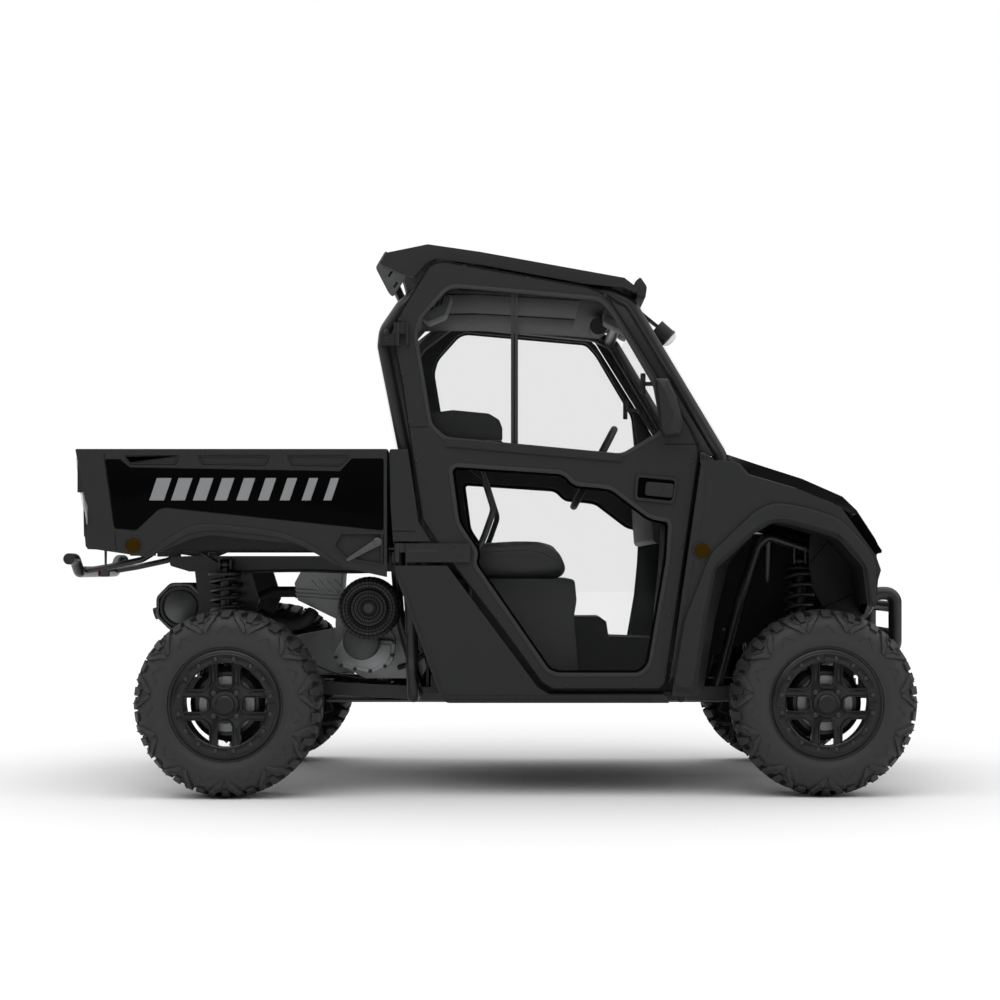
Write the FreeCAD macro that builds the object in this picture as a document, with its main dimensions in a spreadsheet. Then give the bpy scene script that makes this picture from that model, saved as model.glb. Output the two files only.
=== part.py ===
"""Side by side utility vehicle with a closed cab, a tipping cargo bed and four wheels.

Millimetres. +X points forwards, +Y to the vehicle's left and +Z up. The origin is on the
ground, in the middle of the vehicle's length and width. Every size that can be set by
itself is a cell of the sheet Sizes.
"""
import FreeCAD, Part
import math
import os

import Sketcher

V = FreeCAD.Vector
doc = FreeCAD.newDocument("utility_vehicle")

# Driving sizes: name, value in millimetres or degrees, what it sets
SIZES = [
    ("overall_length", 2994, "from the rear bar to the front guard"),
    ("wheelbase", 2040, "between the axles"),
    ("front_axle_x", 1155, "front axle ahead of the middle"),
    ("tyre_radius", 320, "to the tips of the lugs"),
    ("lug_height", 17, "height of a tread lug"),
    ("lug_count", 18, "lugs round one side of a tyre"),
    ("front_tyre_width", 226, "front tyre, wall to wall"),
    ("rear_tyre_width", 266, "rear tyre, wall to wall"),
    ("front_tyre_y", 642, "middle of a front tyre"),
    ("rear_tyre_y", 677, "middle of a rear tyre"),
    ("rim_radius", 178, "bead seat of the rim"),
    ("rim_wall", 9, "wall of the rim's barrel"),
    ("bead_ring_radius", 186, "outside of the bead ring"),
    ("ring_window_radius", 140, "inside of the bead ring"),
    ("spoke_depth", 24, "depth of the spoke plate"),
    ("stud_circle", 110, "pitch circle of the wheel nuts"),
    ("nut_radius", 9, "wheel nuts"),
    ("spindle_radius", 20, "stub axle that carries the wheel"),
    ("fit_gap", 0.3, "clearance between seated pieces"),
    ("kingpin_y", 530, "steering axis of a front wheel"),
    ("kingpin_radius", 9, "ball joint pin"),
    ("sill_z", 322, "underside of the side sills"),
    ("floor_z", 372, "top of the cab floor"),
    ("sill_top_z", 414, "top of the floor's side sills"),
    ("door_y", 715, "outer face of a door"),
    ("door_thickness", 36, "whole thickness of a door"),
    ("door_gap", 9, "gap round a door"),
    ("panel_y", 735, "outer face of the side panels"),
    ("panel_thickness", 34, "side panels"),
    ("hinge_x", -309, "door hinge axis"),
    ("hinge_y", 733, "door hinge axis"),
    ("hinge_pin_radius", 4, "door hinge pin"),
    ("hinge_barrel_radius", 10, "door hinge barrel"),
    ("glass_thickness", 5, "door and rear glass"),
    ("cab_tube_radius", 25, "tubes of the cab frame"),
    ("cab_tube_y", 645, "side tubes of the cab frame"),
    ("roof_half_width", 690, "roof panel"),
    ("roof_crown", 42, "rise of the roof at its middle"),
    ("bed_y", 745, "outer face of the bed sides"),
    ("bed_wall", 105, "whole thickness of a bed side"),
    ("bed_top_z", 1187, "top rail of the bed"),
    ("bed_floor_z", 876, "top of the bed floor"),
    ("bed_floor_thickness", 34, "bed floor"),
    ("bed_front_x", -342, "front face of the bed"),
    ("bed_rear_x", -1402, "rear face of the bed"),
    ("bed_pivot_x", -1130, "tipping axis"),
    ("bed_pivot_z", 806, "tipping axis"),
    ("pivot_pin_radius", 8, "bed and tailgate pins"),
    ("tailgate_thickness", 36, "tailgate"),
    ("tailgate_pivot_z", 872, "tailgate hinge axis"),
    ("rail_y", 330, "middle of a frame rail"),
    ("rail_width", 50, "frame rail"),
    ("upper_rail_z", 825, "top of the rear upper rails"),
    ("upper_rail_height", 56, "rear upper rails"),
    ("lower_rail_z", 300, "underside of the lower rails"),
    ("lower_rail_height", 52, "lower rails"),
    ("skid_thickness", 8, "skid plate"),
    ("skid_half_width", 280, "skid plate"),
    ("bar_radius", 23, "rear bar"),
    ("guard_radius", 24, "front guard tube"),
    ("hitch_pin_radius", 8, "hole for the pin of the draw bar"),
    ("steering_wheel_radius", 170, "to the middle of the rim"),
    ("steering_rim_radius", 14, "rim of the steering wheel"),
    ("steering_wheel_x", 401, "middle of the steering wheel"),
    ("steering_wheel_y", 330, "middle of the steering wheel"),
    ("steering_wheel_z", 1174, "middle of the steering wheel"),
    ("steering_tilt", 27.7, "slope of the steering column"),
    ("column_radius", 14, "steering column"),
    ("column_length", 310, "steering column below the middle of the wheel"),
    ("steering_hub_radius", 44, "hub of the steering wheel"),
    ("steer_arm", 115, "steering arm behind the front axle"),
    ("tie_rod_rise", 87, "steering arm above the axle"),
    ("rack_drop", 26, "rack below the steering arm"),
    ("rack_radius", 9, "steering rack"),
    ("rack_half_length", 500, "steering rack"),
    ("seat_half_width", 590, "seat base"),
    ("seat_wall", 12, "walls of the seat base"),
    ("seat_top_z", 744, "top of the seat base"),
    ("cover_radius", 103, "round cover of the belt drive"),
    ("cover_slots", 36, "cooling slots round the cover"),
    ("spring_radius", 46, "middle of the coil wire, front"),
    ("rear_spring_radius", 52, "middle of the coil wire, rear"),
    ("wire_radius", 7, "coil wire"),
    ("spring_turns", 6, "turns of a coil"),
]

sheet = doc.addObject("Spreadsheet::Sheet", "Sizes")
for row, (alias, value, note) in enumerate(SIZES, 1):
    sheet.set(f"A{row}", note)
    sheet.set(f"B{row}", str(value))
    sheet.setAlias(f"B{row}", alias)
doc.recompute()


def size(alias):
    """The value of one cell of the sheet."""
    return float(sheet.get(alias))


FRONT_X = size("front_axle_x")
REAR_X = FRONT_X - size("wheelbase")
HALF_LENGTH = size("overall_length") / 2
AXLE_Z = size("tyre_radius")
DOOR_Y = size("door_y")
DOOR_INNER_Y = DOOR_Y - size("door_thickness")
PANEL_Y = size("panel_y")
PANEL_INNER_Y = PANEL_Y - size("panel_thickness")
GAP = size("door_gap")
FIT = size("fit_gap")


# Outlines

def corner_edges(points):
    """Lines and arcs of a closed outline. A point is (x, y) or (x, y, corner radius)."""
    count = len(points)
    cut = []
    for i, point in enumerate(points):
        here = V(point[0], point[1], 0)
        before = V(*points[i - 1][:2], 0)
        after = V(*points[(i + 1) % count][:2], 0)
        radius = point[2] if len(point) > 2 else 0
        if not radius:
            cut.append((here, None, here))
            continue
        a = (before - here).normalize()
        b = (after - here).normalize()
        half = a.getAngle(b) / 2
        setback = min(radius / math.tan(half), 0.49 * (before - here).Length, 0.49 * (after - here).Length)
        bisector = (a + b).normalize()
        rounding = setback * math.tan(half)
        middle = here + bisector * (rounding / math.sin(half) - rounding)
        cut.append((here + a * setback, middle, here + b * setback))
    edges = []
    for i in range(count):
        start, middle, end = cut[i]
        if middle is not None:
            edges.append(Part.Arc(start, middle, end))
        edges.append(Part.LineSegment(end, cut[(i + 1) % count][0]))
    return edges


def outline_wire(points):
    """A closed wire in the XY plane."""
    return Part.Wire([edge.toShape() for edge in corner_edges(points)])


def side_face(points, holes=()):
    """A face in the vehicle's side view, x forwards and z up, at y = 0."""
    wires = [outline_wire(points)] + [outline_wire(hole) for hole in holes]
    face = Part.Face(wires)
    face.rotate(V(), V(1, 0, 0), 90)
    return face


def side_prism(points, y0, y1, holes=()):
    """A side view outline made solid from y0 to y1."""
    face = side_face(points, holes)
    face.translate(V(0, min(y0, y1), 0))
    return face.extrude(V(0, abs(y1 - y0), 0))


def inset(points, distance):
    """An outline grown by distance, or shrunk where it is negative, as a face in the side view."""
    face = Part.Face(outline_wire(points).makeOffset2D(distance))
    face.rotate(V(), V(1, 0, 0), 90)
    return face


def box(x0, x1, y0, y1, z0, z1):
    return Part.makeBox(x1 - x0, y1 - y0, z1 - z0, V(x0, y0, z0))


def rod(a, b, radius):
    """A round bar from a to b."""
    a, b = V(*a), V(*b)
    return Part.makeCylinder(radius, (b - a).Length, a, b - a)


def tube_path(points, bend):
    """A bent tube's centre line: straight runs joined by tangent arcs."""
    vectors = [V(*p) for p in points]
    edges = []
    last = vectors[0]
    for i in range(1, len(vectors) - 1):
        here = vectors[i]
        a = (vectors[i - 1] - here).normalize()
        b = (vectors[i + 1] - here).normalize()
        half = a.getAngle(b) / 2
        room = 0.48 * min((vectors[i - 1] - here).Length, (vectors[i + 1] - here).Length)
        setback = min(bend / math.tan(half), room)
        radius = setback * math.tan(half)
        start = here + a * setback
        end = here + b * setback
        middle = here + (a + b).normalize() * (radius / math.sin(half) - radius)
        edges.append(Part.LineSegment(last, start).toShape())
        edges.append(Part.Arc(start, middle, end).toShape())
        last = end
    edges.append(Part.LineSegment(last, vectors[-1]).toShape())
    return Part.Wire(edges)


def bent_tube(points, radius, bend=80):
    """A round bar swept along a bent centre line."""
    path = tube_path(points, bend)
    first = V(*points[0])
    along = V(*points[1]) - first
    circle = Part.Wire([Part.Circle(first, along, radius).toShape()])
    return path.makePipeShell([circle], True, False)


def mirrored(shape):
    """The same piece on the other side of the vehicle."""
    return shape.mirror(V(), V(0, 1, 0))


def joined(shapes):
    """One solid from pieces that overlap."""
    first = shapes[0]
    rest = shapes[1:]
    whole = first.fuse(rest) if rest else first
    return whole.removeSplitter()


def both_sides(shape):
    return Part.makeCompound([shape, mirrored(shape)])


# Objects of the document

sub_parts = []


def add_shape(label, shape):
    """A sub-part whose solid comes from the functions above."""
    feature = doc.addObject("Part::Feature", label)
    feature.Label = label
    feature.Shape = shape
    sub_parts.append(feature)
    return feature


def keep(feature, label):
    """Names a document object as a sub-part of its own."""
    feature.Label = label
    sub_parts.append(feature)
    return feature


def add_body(name):
    return doc.addObject("PartDesign::Body", name)


def origin_plane(body, role):
    """One of the body's own planes or axes."""
    return next(f for f in body.Origin.OriginFeatures if f.Role == role)


def add_sketch(body, name, role, outlines, offset=None):
    """A sketch on one of the body's own planes, at a distance that the sheet gives."""
    sketch = body.newObject("Sketcher::SketchObject", name)
    sketch.AttachmentSupport = [(origin_plane(body, role), "")]
    sketch.MapMode = "FlatFace"
    if offset is not None:
        sketch.setExpression("AttachmentOffset.Base.z", offset)
    for edges in outlines:
        first = sketch.GeometryCount
        for edge in edges:
            sketch.addGeometry(edge, False)
        join_ends(sketch, range(first, sketch.GeometryCount))
    return sketch


def join_ends(sketch, indices):
    """Makes each edge's end meet the next one's. An arc may run either way round."""
    for i, after in zip(indices, list(indices[1:]) + [indices[0]]):
        for a, b in ((2, 1), (1, 1), (2, 2), (1, 2)):
            if sketch.getPoint(i, a).distanceToPoint(sketch.getPoint(after, b)) < 1e-4:
                sketch.addConstraint(Sketcher.Constraint("Coincident", i, a, after, b))
                break


def add_circle_sketch(body, name, role, circles, offset=None):
    """A sketch of circles: centre x, centre y, and the expression of the radius."""
    sketch = body.newObject("Sketcher::SketchObject", name)
    sketch.AttachmentSupport = [(origin_plane(body, role), "")]
    sketch.MapMode = "FlatFace"
    if offset is not None:
        sketch.setExpression("AttachmentOffset.Base.z", offset)
    for x, y, radius_value, radius in circles:
        i = sketch.addGeometry(Part.Circle(V(x, y, 0), V(0, 0, 1), radius_value), False)
        c = sketch.addConstraint(Sketcher.Constraint("Radius", i, radius_value))
        sketch.setExpression(f"Constraints[{c}]", radius)
    return sketch


def add_feature(body, kind, sketch, length, reverse=False):
    """A pad along the sketch's normal, or a pocket against it, unless it is reversed."""
    feature = body.newObject("PartDesign::" + kind, kind)
    feature.Profile = sketch
    feature.setExpression("Length", length)
    feature.Reversed = reverse
    return feature


def add_turned(body, sketch):
    """The sketch turned once round its own vertical axis."""
    turned = body.newObject("PartDesign::Revolution", "Revolution")
    turned.Profile = sketch
    turned.ReferenceAxis = (sketch, ["V_Axis"])
    turned.Angle = 360
    return turned


def add_pattern(body, feature, count):
    """Copies of one feature round the body's Y axis. The count is an expression."""
    pattern = body.newObject("PartDesign::PolarPattern", "PolarPattern")
    pattern.Originals = [feature]
    pattern.Axis = (origin_plane(body, "Y_Axis"), [""])
    pattern.Angle = 360
    pattern.setExpression("Occurrences", count)
    body.Tip = pattern
    return pattern


def side_body(label, outline, half_width):
    """A body padded from a side view outline, as wide to the left as to the right."""
    body = add_body(label)
    sketch = add_sketch(body, label + "_outline", "XZ_Plane", [corner_edges(outline)], f"-({half_width})")
    add_feature(body, "Pad", sketch, f"2 * ({half_width})")
    return keep(body, label)


def bound(kind, name, placement, **sizes):
    """A primitive whose sizes are expressions over the sheet."""
    primitive = doc.addObject("Part::" + kind, name)
    for key, expression in sizes.items():
        primitive.setExpression(key, expression)
    primitive.Placement = placement
    return primitive


def fused(label, pieces):
    whole = doc.addObject("Part::MultiFuse", label)
    whole.Shapes = pieces
    whole.Refine = True
    return keep(whole, label)


# Wheels

TREAD_SIDES = 36


def tyre_section(width):
    """Radius and place across of each ring of the carcass, bead to bead."""
    half = width / 2
    tread = size("tyre_radius") - size("lug_height")
    bead = size("rim_radius") + 8
    wall = [(bead, half - 30), (bead + 20, half - 9), (bead + 62, half), (tread - 22, half - 12), (tread, half - 44)]
    return [(r, -y) for r, y in wall] + [(r, y) for r, y in reversed(wall)]


def ring(radius, y, sides=TREAD_SIDES):
    points = [
        V(radius * math.cos(2 * math.pi * k / sides), y, radius * math.sin(2 * math.pi * k / sides))
        for k in range(sides)
    ]
    return Part.makePolygon(points + points[:1])


def lug(width, side, turn):
    """One tread lug: a slanted block from beside the middle over the shoulder."""
    half = width / 2
    top = size("tyre_radius")
    base = top - size("lug_height") - 10
    step = 360 / size("lug_count")
    thick = 0.27 * step
    lean = 0.55 * step
    stations = [(0.05, 0.0), (0.42, 0.62), (0.80, 1.0)]
    solids = []
    for (y0, a0), (y1, a1) in zip(stations, stations[1:]):
        section = []
        for y, a in ((y0, a0), (y1, a1)):
            for edge in (-thick, thick):
                for r in (base, top):
                    angle = math.radians(turn + lean * a + edge)
                    drop = 6 if (y > 0.7 and r == top) else 0
                    section.append(V((r - drop) * math.cos(angle), side * y * half, (r - drop) * math.sin(angle)))
        a, b, c, d, e, f, g, h = section
        faces = [(a, b, d, c), (e, f, h, g), (a, b, f, e), (c, d, h, g), (a, c, g, e), (b, d, h, f)]
        flat = []
        for quad in faces:
            for triangle in ((quad[0], quad[1], quad[2]), (quad[0], quad[2], quad[3])):
                flat.append(Part.Face(Part.makePolygon(list(triangle) + [triangle[0]])))
        solids.append(Part.makeSolid(Part.makeShell(flat)))
    shoulder_r = top - size("lug_height") - 34
    outer = []
    for y, r in ((0.80 * half, base), (0.80 * half, top - 6), (half - 3, shoulder_r + 12), (half - 3, shoulder_r - 14)):
        outer.append((y, r))
    blocks = []
    for edge in (-thick, thick):
        angle = math.radians(turn + lean + edge)
        points = [V(r * math.cos(angle), side * y, r * math.sin(angle)) for y, r in outer]
        blocks.append(Part.makePolygon(points + points[:1]))
    solids.append(Part.makeLoft(blocks, True, True))
    fixed = []
    for solid in solids:
        if solid.Volume < 0:
            solid.reverse()
        fixed.append(solid)
    return fixed


def rim_outside(width):
    """Radius and place across of the rim's outer line, from its face to its back."""
    face_y, back_y = -width / 2 + 6, width / 2 - 26
    ring_r, barrel_r = size("bead_ring_radius"), size("rim_radius")
    return [(ring_r, face_y), (ring_r, face_y + 9), (barrel_r, face_y + 22), (barrel_r, back_y - 14),
            (ring_r, back_y - 4), (ring_r, back_y)]


def make_tyre(width):
    """A tyre at the origin, turning about Y, with its lugs."""
    rings = [ring(r, y) for r, y in tyre_section(width)]
    carcass = Part.makeLoft(rings, True, True)
    step = 360 / size("lug_count")
    lugs = []
    for k in range(int(size("lug_count"))):
        lugs += lug(width, 1, k * step)
        lugs += lug(width, -1, (k + 0.5) * step)
    tyre = carcass.fuse(lugs)
    outside = [(0, -width)] + [(r + FIT, y) for r, y in rim_outside(width)] + [(0, width)]
    outside[1] = (outside[1][0], -width)
    outside[-2] = (outside[-2][0], width)
    seat = Part.makePolygon([V(r, y, 0) for r, y in outside + outside[:1]])
    return tyre.cut(Part.Face(seat).revolve(V(), V(0, 1, 0), 360))


def wheel_place(x, y):
    return FreeCAD.Placement(V(x, y, AXLE_Z), FreeCAD.Rotation())


front_tyre = make_tyre(size("front_tyre_width"))
rear_tyre = make_tyre(size("rear_tyre_width"))
for label, shape, x, y in (
    ("tyre_front_right", front_tyre, FRONT_X, -size("front_tyre_y")),
    ("tyre_front_left", mirrored(front_tyre), FRONT_X, size("front_tyre_y")),
    ("tyre_rear_right", rear_tyre, REAR_X, -size("rear_tyre_y")),
    ("tyre_rear_left", mirrored(rear_tyre), REAR_X, size("rear_tyre_y")),
):
    feature = add_shape(label, shape)
    feature.Placement = wheel_place(x, y)


NARROW_WINDOW = [(-24, 136, 4), (24, 136, 4), (24, 72, 12), (12, 58, 8), (-12, 58, 8), (-24, 72, 12)]
WIDE_WINDOW = [(53, 126, 4), (53, 76, 12), (76, 53, 12), (126, 53, 4), (98, 98, 30)]


def rim_section(width, side):
    """Half section of a rim: bead seats, spoke plate, hub, brake disc and the bore for the spindle."""
    face, back = -width / 2 + 6, width / 2 - 26
    plate = face + 4 + size("spoke_depth")
    window_r = size("ring_window_radius")
    inside = size("rim_radius") - size("rim_wall")
    bore = size("spindle_radius") + FIT
    points = [(0, face - 4), (38, face - 4), (38, face + 4), (window_r, face + 4), (window_r, face)]
    points += rim_outside(width)
    points += [(inside, back), (inside, plate + 20), (window_r, plate), (70, plate), (70, plate + 30),
               (112, plate + 30), (112, plate + 36), (bore, plate + 36), (bore, plate - 10), (0, plate - 10)]
    return [(r, -side * y) for r, y in points]


def rim_body(label, axle, side):
    """A rim with four narrow and four wide windows and four nuts. Side is -1 for the right."""
    body = add_body(label)
    section = rim_section(size(f"{axle}_tyre_width"), side)
    add_turned(body, add_sketch(body, label + "_section", "XY_Plane", [corner_edges(section)]))
    outside = f"{-side} * (Sizes.{axle}_tyre_width / 2 + 4)"
    for name, outline in (("narrow", NARROW_WINDOW), ("wide", WIDE_WINDOW)):
        sketch = add_sketch(body, f"{label}_{name}", "XZ_Plane", [corner_edges(outline)], outside)
        pocket = add_feature(body, "Pocket", sketch, "Sizes.spoke_depth + 30", side > 0)
        add_pattern(body, pocket, "4")
    stud = size("stud_circle") / 2 * math.sqrt(0.5)
    nut_face = f"{-side} * (Sizes.{axle}_tyre_width / 2 - 2)"
    nut = add_circle_sketch(body, label + "_nut", "XZ_Plane", [(stud, stud, size("nut_radius"), "Sizes.nut_radius")],
                            nut_face)
    add_pattern(body, add_feature(body, "Pad", nut, "14", side < 0), "4")
    return keep(body, label)


HUB_FACE_Y = {axle: -size(f"{axle}_tyre_width") / 2 + 6 + size("spoke_depth") for axle in ("front", "rear")}
for axle, x in (("front", FRONT_X), ("rear", REAR_X)):
    for name, side in (("right", -1), ("left", 1)):
        rim = rim_body(f"rim_{axle}_{name}", axle, side)
        rim.Placement = wheel_place(x, side * size(f"{axle}_tyre_y"))


# Front knuckles, arms and steering

UPPER_JOINT_Z = AXLE_Z + 112
LOWER_JOINT_Z = AXLE_Z - 82
KING_Y = -size("kingpin_y")
PIN = size("kingpin_radius")
EYE_RADIUS = 20
STEER_ARM = size("steer_arm")
ROD_Z = AXLE_Z + size("tie_rod_rise")


def knuckle_shape():
    """Right front knuckle: an upright with a stub axle, ball joint pins and a steering arm."""
    spindle_tip = -size("front_tyre_y") + HUB_FACE_Y["front"] - 2
    disc_y = -size("front_tyre_y") + HUB_FACE_Y["front"] + 42
    upright = box(FRONT_X - 28, FRONT_X + 28, disc_y + 6, KING_Y + 17, LOWER_JOINT_Z + 22, UPPER_JOINT_Z - 22)
    spindle = rod((FRONT_X, KING_Y, AXLE_Z), (FRONT_X, spindle_tip, AXLE_Z), size("spindle_radius"))
    carrier = rod((FRONT_X, disc_y + 6, AXLE_Z), (FRONT_X, KING_Y + 17, AXLE_Z), 58)
    pins = rod((FRONT_X, KING_Y, LOWER_JOINT_Z - 16), (FRONT_X, KING_Y, UPPER_JOINT_Z + 16), PIN)
    arm = box(FRONT_X - STEER_ARM, FRONT_X, KING_Y + 2, KING_Y + 30, ROD_Z - 7, ROD_Z + 7)
    eye = rod((FRONT_X - STEER_ARM, KING_Y + 16, ROD_Z - 7), (FRONT_X - STEER_ARM, KING_Y + 16, ROD_Z + 7), 16)
    caliper = box(FRONT_X + 40, FRONT_X + 88, disc_y + 5, disc_y + 40, AXLE_Z - 34, AXLE_Z + 44)
    caliper_ear = box(FRONT_X + 20, FRONT_X + 60, disc_y + 12, disc_y + 34, AXLE_Z - 20, AXLE_Z + 30)
    return joined([upright, carrier, spindle, pins, arm, eye, caliper, caliper_ear])


knuckle = knuckle_shape()
add_shape("knuckle_front_right", knuckle)
add_shape("knuckle_front_left", mirrored(knuckle))

RUN = 0.05
RACK_RADIUS = size("rack_radius")
RACK_DROP = size("rack_drop")
RAIL_Y = size("rail_y")
RAIL_HALF = size("rail_width") / 2
UPPER_TOP = size("upper_rail_z")
UPPER_BOTTOM = UPPER_TOP - size("upper_rail_height")
LOWER_BOTTOM = size("lower_rail_z")
LOWER_TOP = LOWER_BOTTOM + size("lower_rail_height")
LOWER_RAIL_Y = RAIL_Y - 50
CRADLE_Y = 190
CRADLE_HALF = 20
BAR = 12
BUSH = 17
FRONT_SPREAD = 150
LOWER_SPREAD = 150
PAD_Y = 260
TOWER_Y = RAIL_Y + 7
TOWER_HALF = 5
BED_UNDER_Z = size("bed_floor_z") - size("bed_floor_thickness")
HITCH_PIN_X = REAR_X - size("tyre_radius") - 27


def wishbone(x, pivot_y, pivot_z, spread, joint_y, joint_z, share):
    """A right suspension arm: two bars from the frame that meet at an eye round the ball joint."""
    legs = []
    for s in (-1, 1):
        legs.append(rod((x + s * spread, -pivot_y, pivot_z), (x + s * 6, -joint_y + 6, joint_z), BAR))
        legs.append(rod((x + s * spread - 24, -pivot_y, pivot_z), (x + s * spread + 24, -pivot_y, pivot_z), BUSH))
    eye = rod((x, -joint_y, joint_z - 15), (x, -joint_y, joint_z + 15), EYE_RADIUS)
    y = -(share * joint_y + (1 - share) * pivot_y)
    z = share * joint_z + (1 - share) * pivot_z
    reach = (1 - share) * spread
    cross = rod((x - reach, y, z), (x + reach, y, z), BAR - 3)
    bore = rod((x, -joint_y, joint_z - 30), (x, -joint_y, joint_z + 30), PIN + FIT)
    return joined(legs + [eye, cross]).cut(bore)


UPPER_PIVOT_Y = PAD_Y + BUSH + FIT
LOWER_PIVOT_Y = LOWER_RAIL_Y + RAIL_HALF + BUSH + FIT
UPPER_PIVOT_Z = 470
LOWER_PIVOT_Z = 325
FRONT_CROSS = 0.45
upper_arm = wishbone(FRONT_X, UPPER_PIVOT_Y, UPPER_PIVOT_Z, FRONT_SPREAD, -KING_Y, UPPER_JOINT_Z, 0.8)
lower_arm = wishbone(FRONT_X, LOWER_PIVOT_Y, LOWER_PIVOT_Z, LOWER_SPREAD, -KING_Y, LOWER_JOINT_Z, FRONT_CROSS)
add_shape("front_arms", Part.makeCompound([upper_arm, lower_arm, mirrored(upper_arm), mirrored(lower_arm)]))

REAR_KNUCKLE_Y = 580
REAR_LOWER_PIVOT = (CRADLE_Y + CRADLE_HALF + BUSH + FIT, 345)
REAR_UPPER_PIVOT = (TOWER_Y + TOWER_HALF + BUSH + FIT, 480)
REAR_UPPER_X = REAR_X - 120


def rear_knuckle_shape():
    """Right rear knuckle: an upright with a stub axle and a pin for each arm."""
    tip = -size("rear_tyre_y") + HUB_FACE_Y["rear"] - 2
    disc_y = -size("rear_tyre_y") + HUB_FACE_Y["rear"] + 42
    upright = box(REAR_X - 30, REAR_X + 30, -REAR_KNUCKLE_Y - 22, -REAR_KNUCKLE_Y + 18, LOWER_JOINT_Z - 18, UPPER_JOINT_Z + 18)
    carrier = rod((REAR_X, disc_y + 6, AXLE_Z), (REAR_X, -REAR_KNUCKLE_Y, AXLE_Z), 58)
    spindle = rod((REAR_X, -REAR_KNUCKLE_Y, AXLE_Z), (REAR_X, tip, AXLE_Z), size("spindle_radius"))
    pins = [
        rod((REAR_X - 62, -REAR_KNUCKLE_Y, z), (REAR_X + 62, -REAR_KNUCKLE_Y, z), PIN)
        for z in (LOWER_JOINT_Z, UPPER_JOINT_Z)
    ]
    caliper = box(REAR_X + 30, REAR_X + 86, disc_y + 5, disc_y + 44, AXLE_Z - 34, AXLE_Z + 44)
    return joined([upright, carrier, spindle, caliper] + pins)


def fork_eyes(z):
    """The two eyes by which a rear arm holds the knuckle's pin."""
    solids = []
    for s in (-1, 1):
        a, b = REAR_X + s * 36, REAR_X + s * 58
        solids.append(rod((a, -REAR_KNUCKLE_Y, z), (b, -REAR_KNUCKLE_Y, z), BUSH))
    return solids


def rear_lower_arm():
    y, z = REAR_LOWER_PIVOT
    pieces = fork_eyes(LOWER_JOINT_Z)
    for s in (-1, 1):
        pieces.append(rod((REAR_X + s * LOWER_SPREAD, -y, z), (REAR_X + s * 47, -REAR_KNUCKLE_Y + 6, LOWER_JOINT_Z), BAR))
        x = REAR_X + s * LOWER_SPREAD
        pieces.append(rod((x - 24, -y, z), (x + 24, -y, z), BUSH))
    share = 0.55
    cross_y = -(share * REAR_KNUCKLE_Y + (1 - share) * y)
    cross_z = share * LOWER_JOINT_Z + (1 - share) * z
    reach = share * 47 + (1 - share) * LOWER_SPREAD
    pieces.append(rod((REAR_X - reach, cross_y, cross_z), (REAR_X + reach, cross_y, cross_z), BAR - 3))
    bore = rod((REAR_X - 70, -REAR_KNUCKLE_Y, LOWER_JOINT_Z), (REAR_X + 70, -REAR_KNUCKLE_Y, LOWER_JOINT_Z), PIN + FIT)
    return joined(pieces).cut(bore)


def rear_upper_arm():
    y, z = REAR_UPPER_PIVOT
    eyes = fork_eyes(UPPER_JOINT_Z)
    link = rod((REAR_UPPER_X, -y, z), (REAR_X - 47, -REAR_KNUCKLE_Y + 6, UPPER_JOINT_Z), BAR)
    bush = rod((REAR_UPPER_X - 24, -y, z), (REAR_UPPER_X + 24, -y, z), BUSH)
    bridge = box(REAR_X - 58, REAR_X + 58, -REAR_KNUCKLE_Y + 26, -REAR_KNUCKLE_Y + 40, UPPER_JOINT_Z - 10, UPPER_JOINT_Z + 10)
    ties = [
        box(min(a, b), max(a, b), -REAR_KNUCKLE_Y, -REAR_KNUCKLE_Y + 38, UPPER_JOINT_Z - 10, UPPER_JOINT_Z + 10)
        for a, b in ((REAR_X - 58, REAR_X - 38), (REAR_X + 38, REAR_X + 58))
    ]
    bore = rod((REAR_X - 70, -REAR_KNUCKLE_Y, UPPER_JOINT_Z), (REAR_X + 70, -REAR_KNUCKLE_Y, UPPER_JOINT_Z), PIN + FIT)
    return joined(eyes + [link, bush, bridge] + ties).cut(bore)


rear_lower = rear_lower_arm()
rear_upper = rear_upper_arm()
rear_knuckle = rear_knuckle_shape()
add_shape("rear_knuckles", both_sides(rear_knuckle))
add_shape("rear_arms", Part.makeCompound([rear_lower, rear_upper, mirrored(rear_lower), mirrored(rear_upper)]))


# Springs and dampers

def coil(radius, pitch, turns, wire):
    """A coil spring that stands on z = 0."""
    helix = Part.makeHelix(pitch, pitch * turns, radius)
    section = Part.Wire([Part.Circle(V(radius, 0, 0), V(0, 1, 0), wire).toShape()])
    return Part.Wire(helix.Edges).makePipeShell([section], True, True)


def damper(bottom, top, radius, share, pin_radius):
    """A damper with its coil between two eyes. Each eye turns on a pin along X."""
    bottom, top = V(*bottom), V(*top)
    length = (top - bottom).Length
    low = length * share
    high = length - 34
    wire = size("wire_radius")
    turns = int(size("spring_turns"))
    pitch = (high - low - 2 * wire - 8) / turns
    spring = coil(radius, pitch, turns, wire)
    spring.translate(V(0, 0, low + wire + 4))
    body = Part.makeCylinder(20, high - 12 - 14, V(0, 0, 14))
    cups = [Part.makeCylinder(radius + wire + 4, 8, V(0, 0, z)) for z in (low - 3, high - 5)]
    stem = Part.makeCylinder(10, length - 28, V(0, 0, 14))
    solid = joined([body, stem] + cups).fuse(spring)
    solid.Placement = FreeCAD.Placement(bottom, FreeCAD.Rotation(V(0, 0, 1), top - bottom))
    solid = solid.copy()
    eyes = []
    bores = []
    for point, pin in ((bottom, pin_radius), (top, size("pivot_pin_radius"))):
        a, b = point - V(8, 0, 0), point + V(8, 0, 0)
        eyes.append(rod(a, b, pin + 8))
        bores.append(rod(a - V(4, 0, 0), b + V(4, 0, 0), pin + FIT))
    return solid.fuse(eyes).cut(bores)


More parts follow.
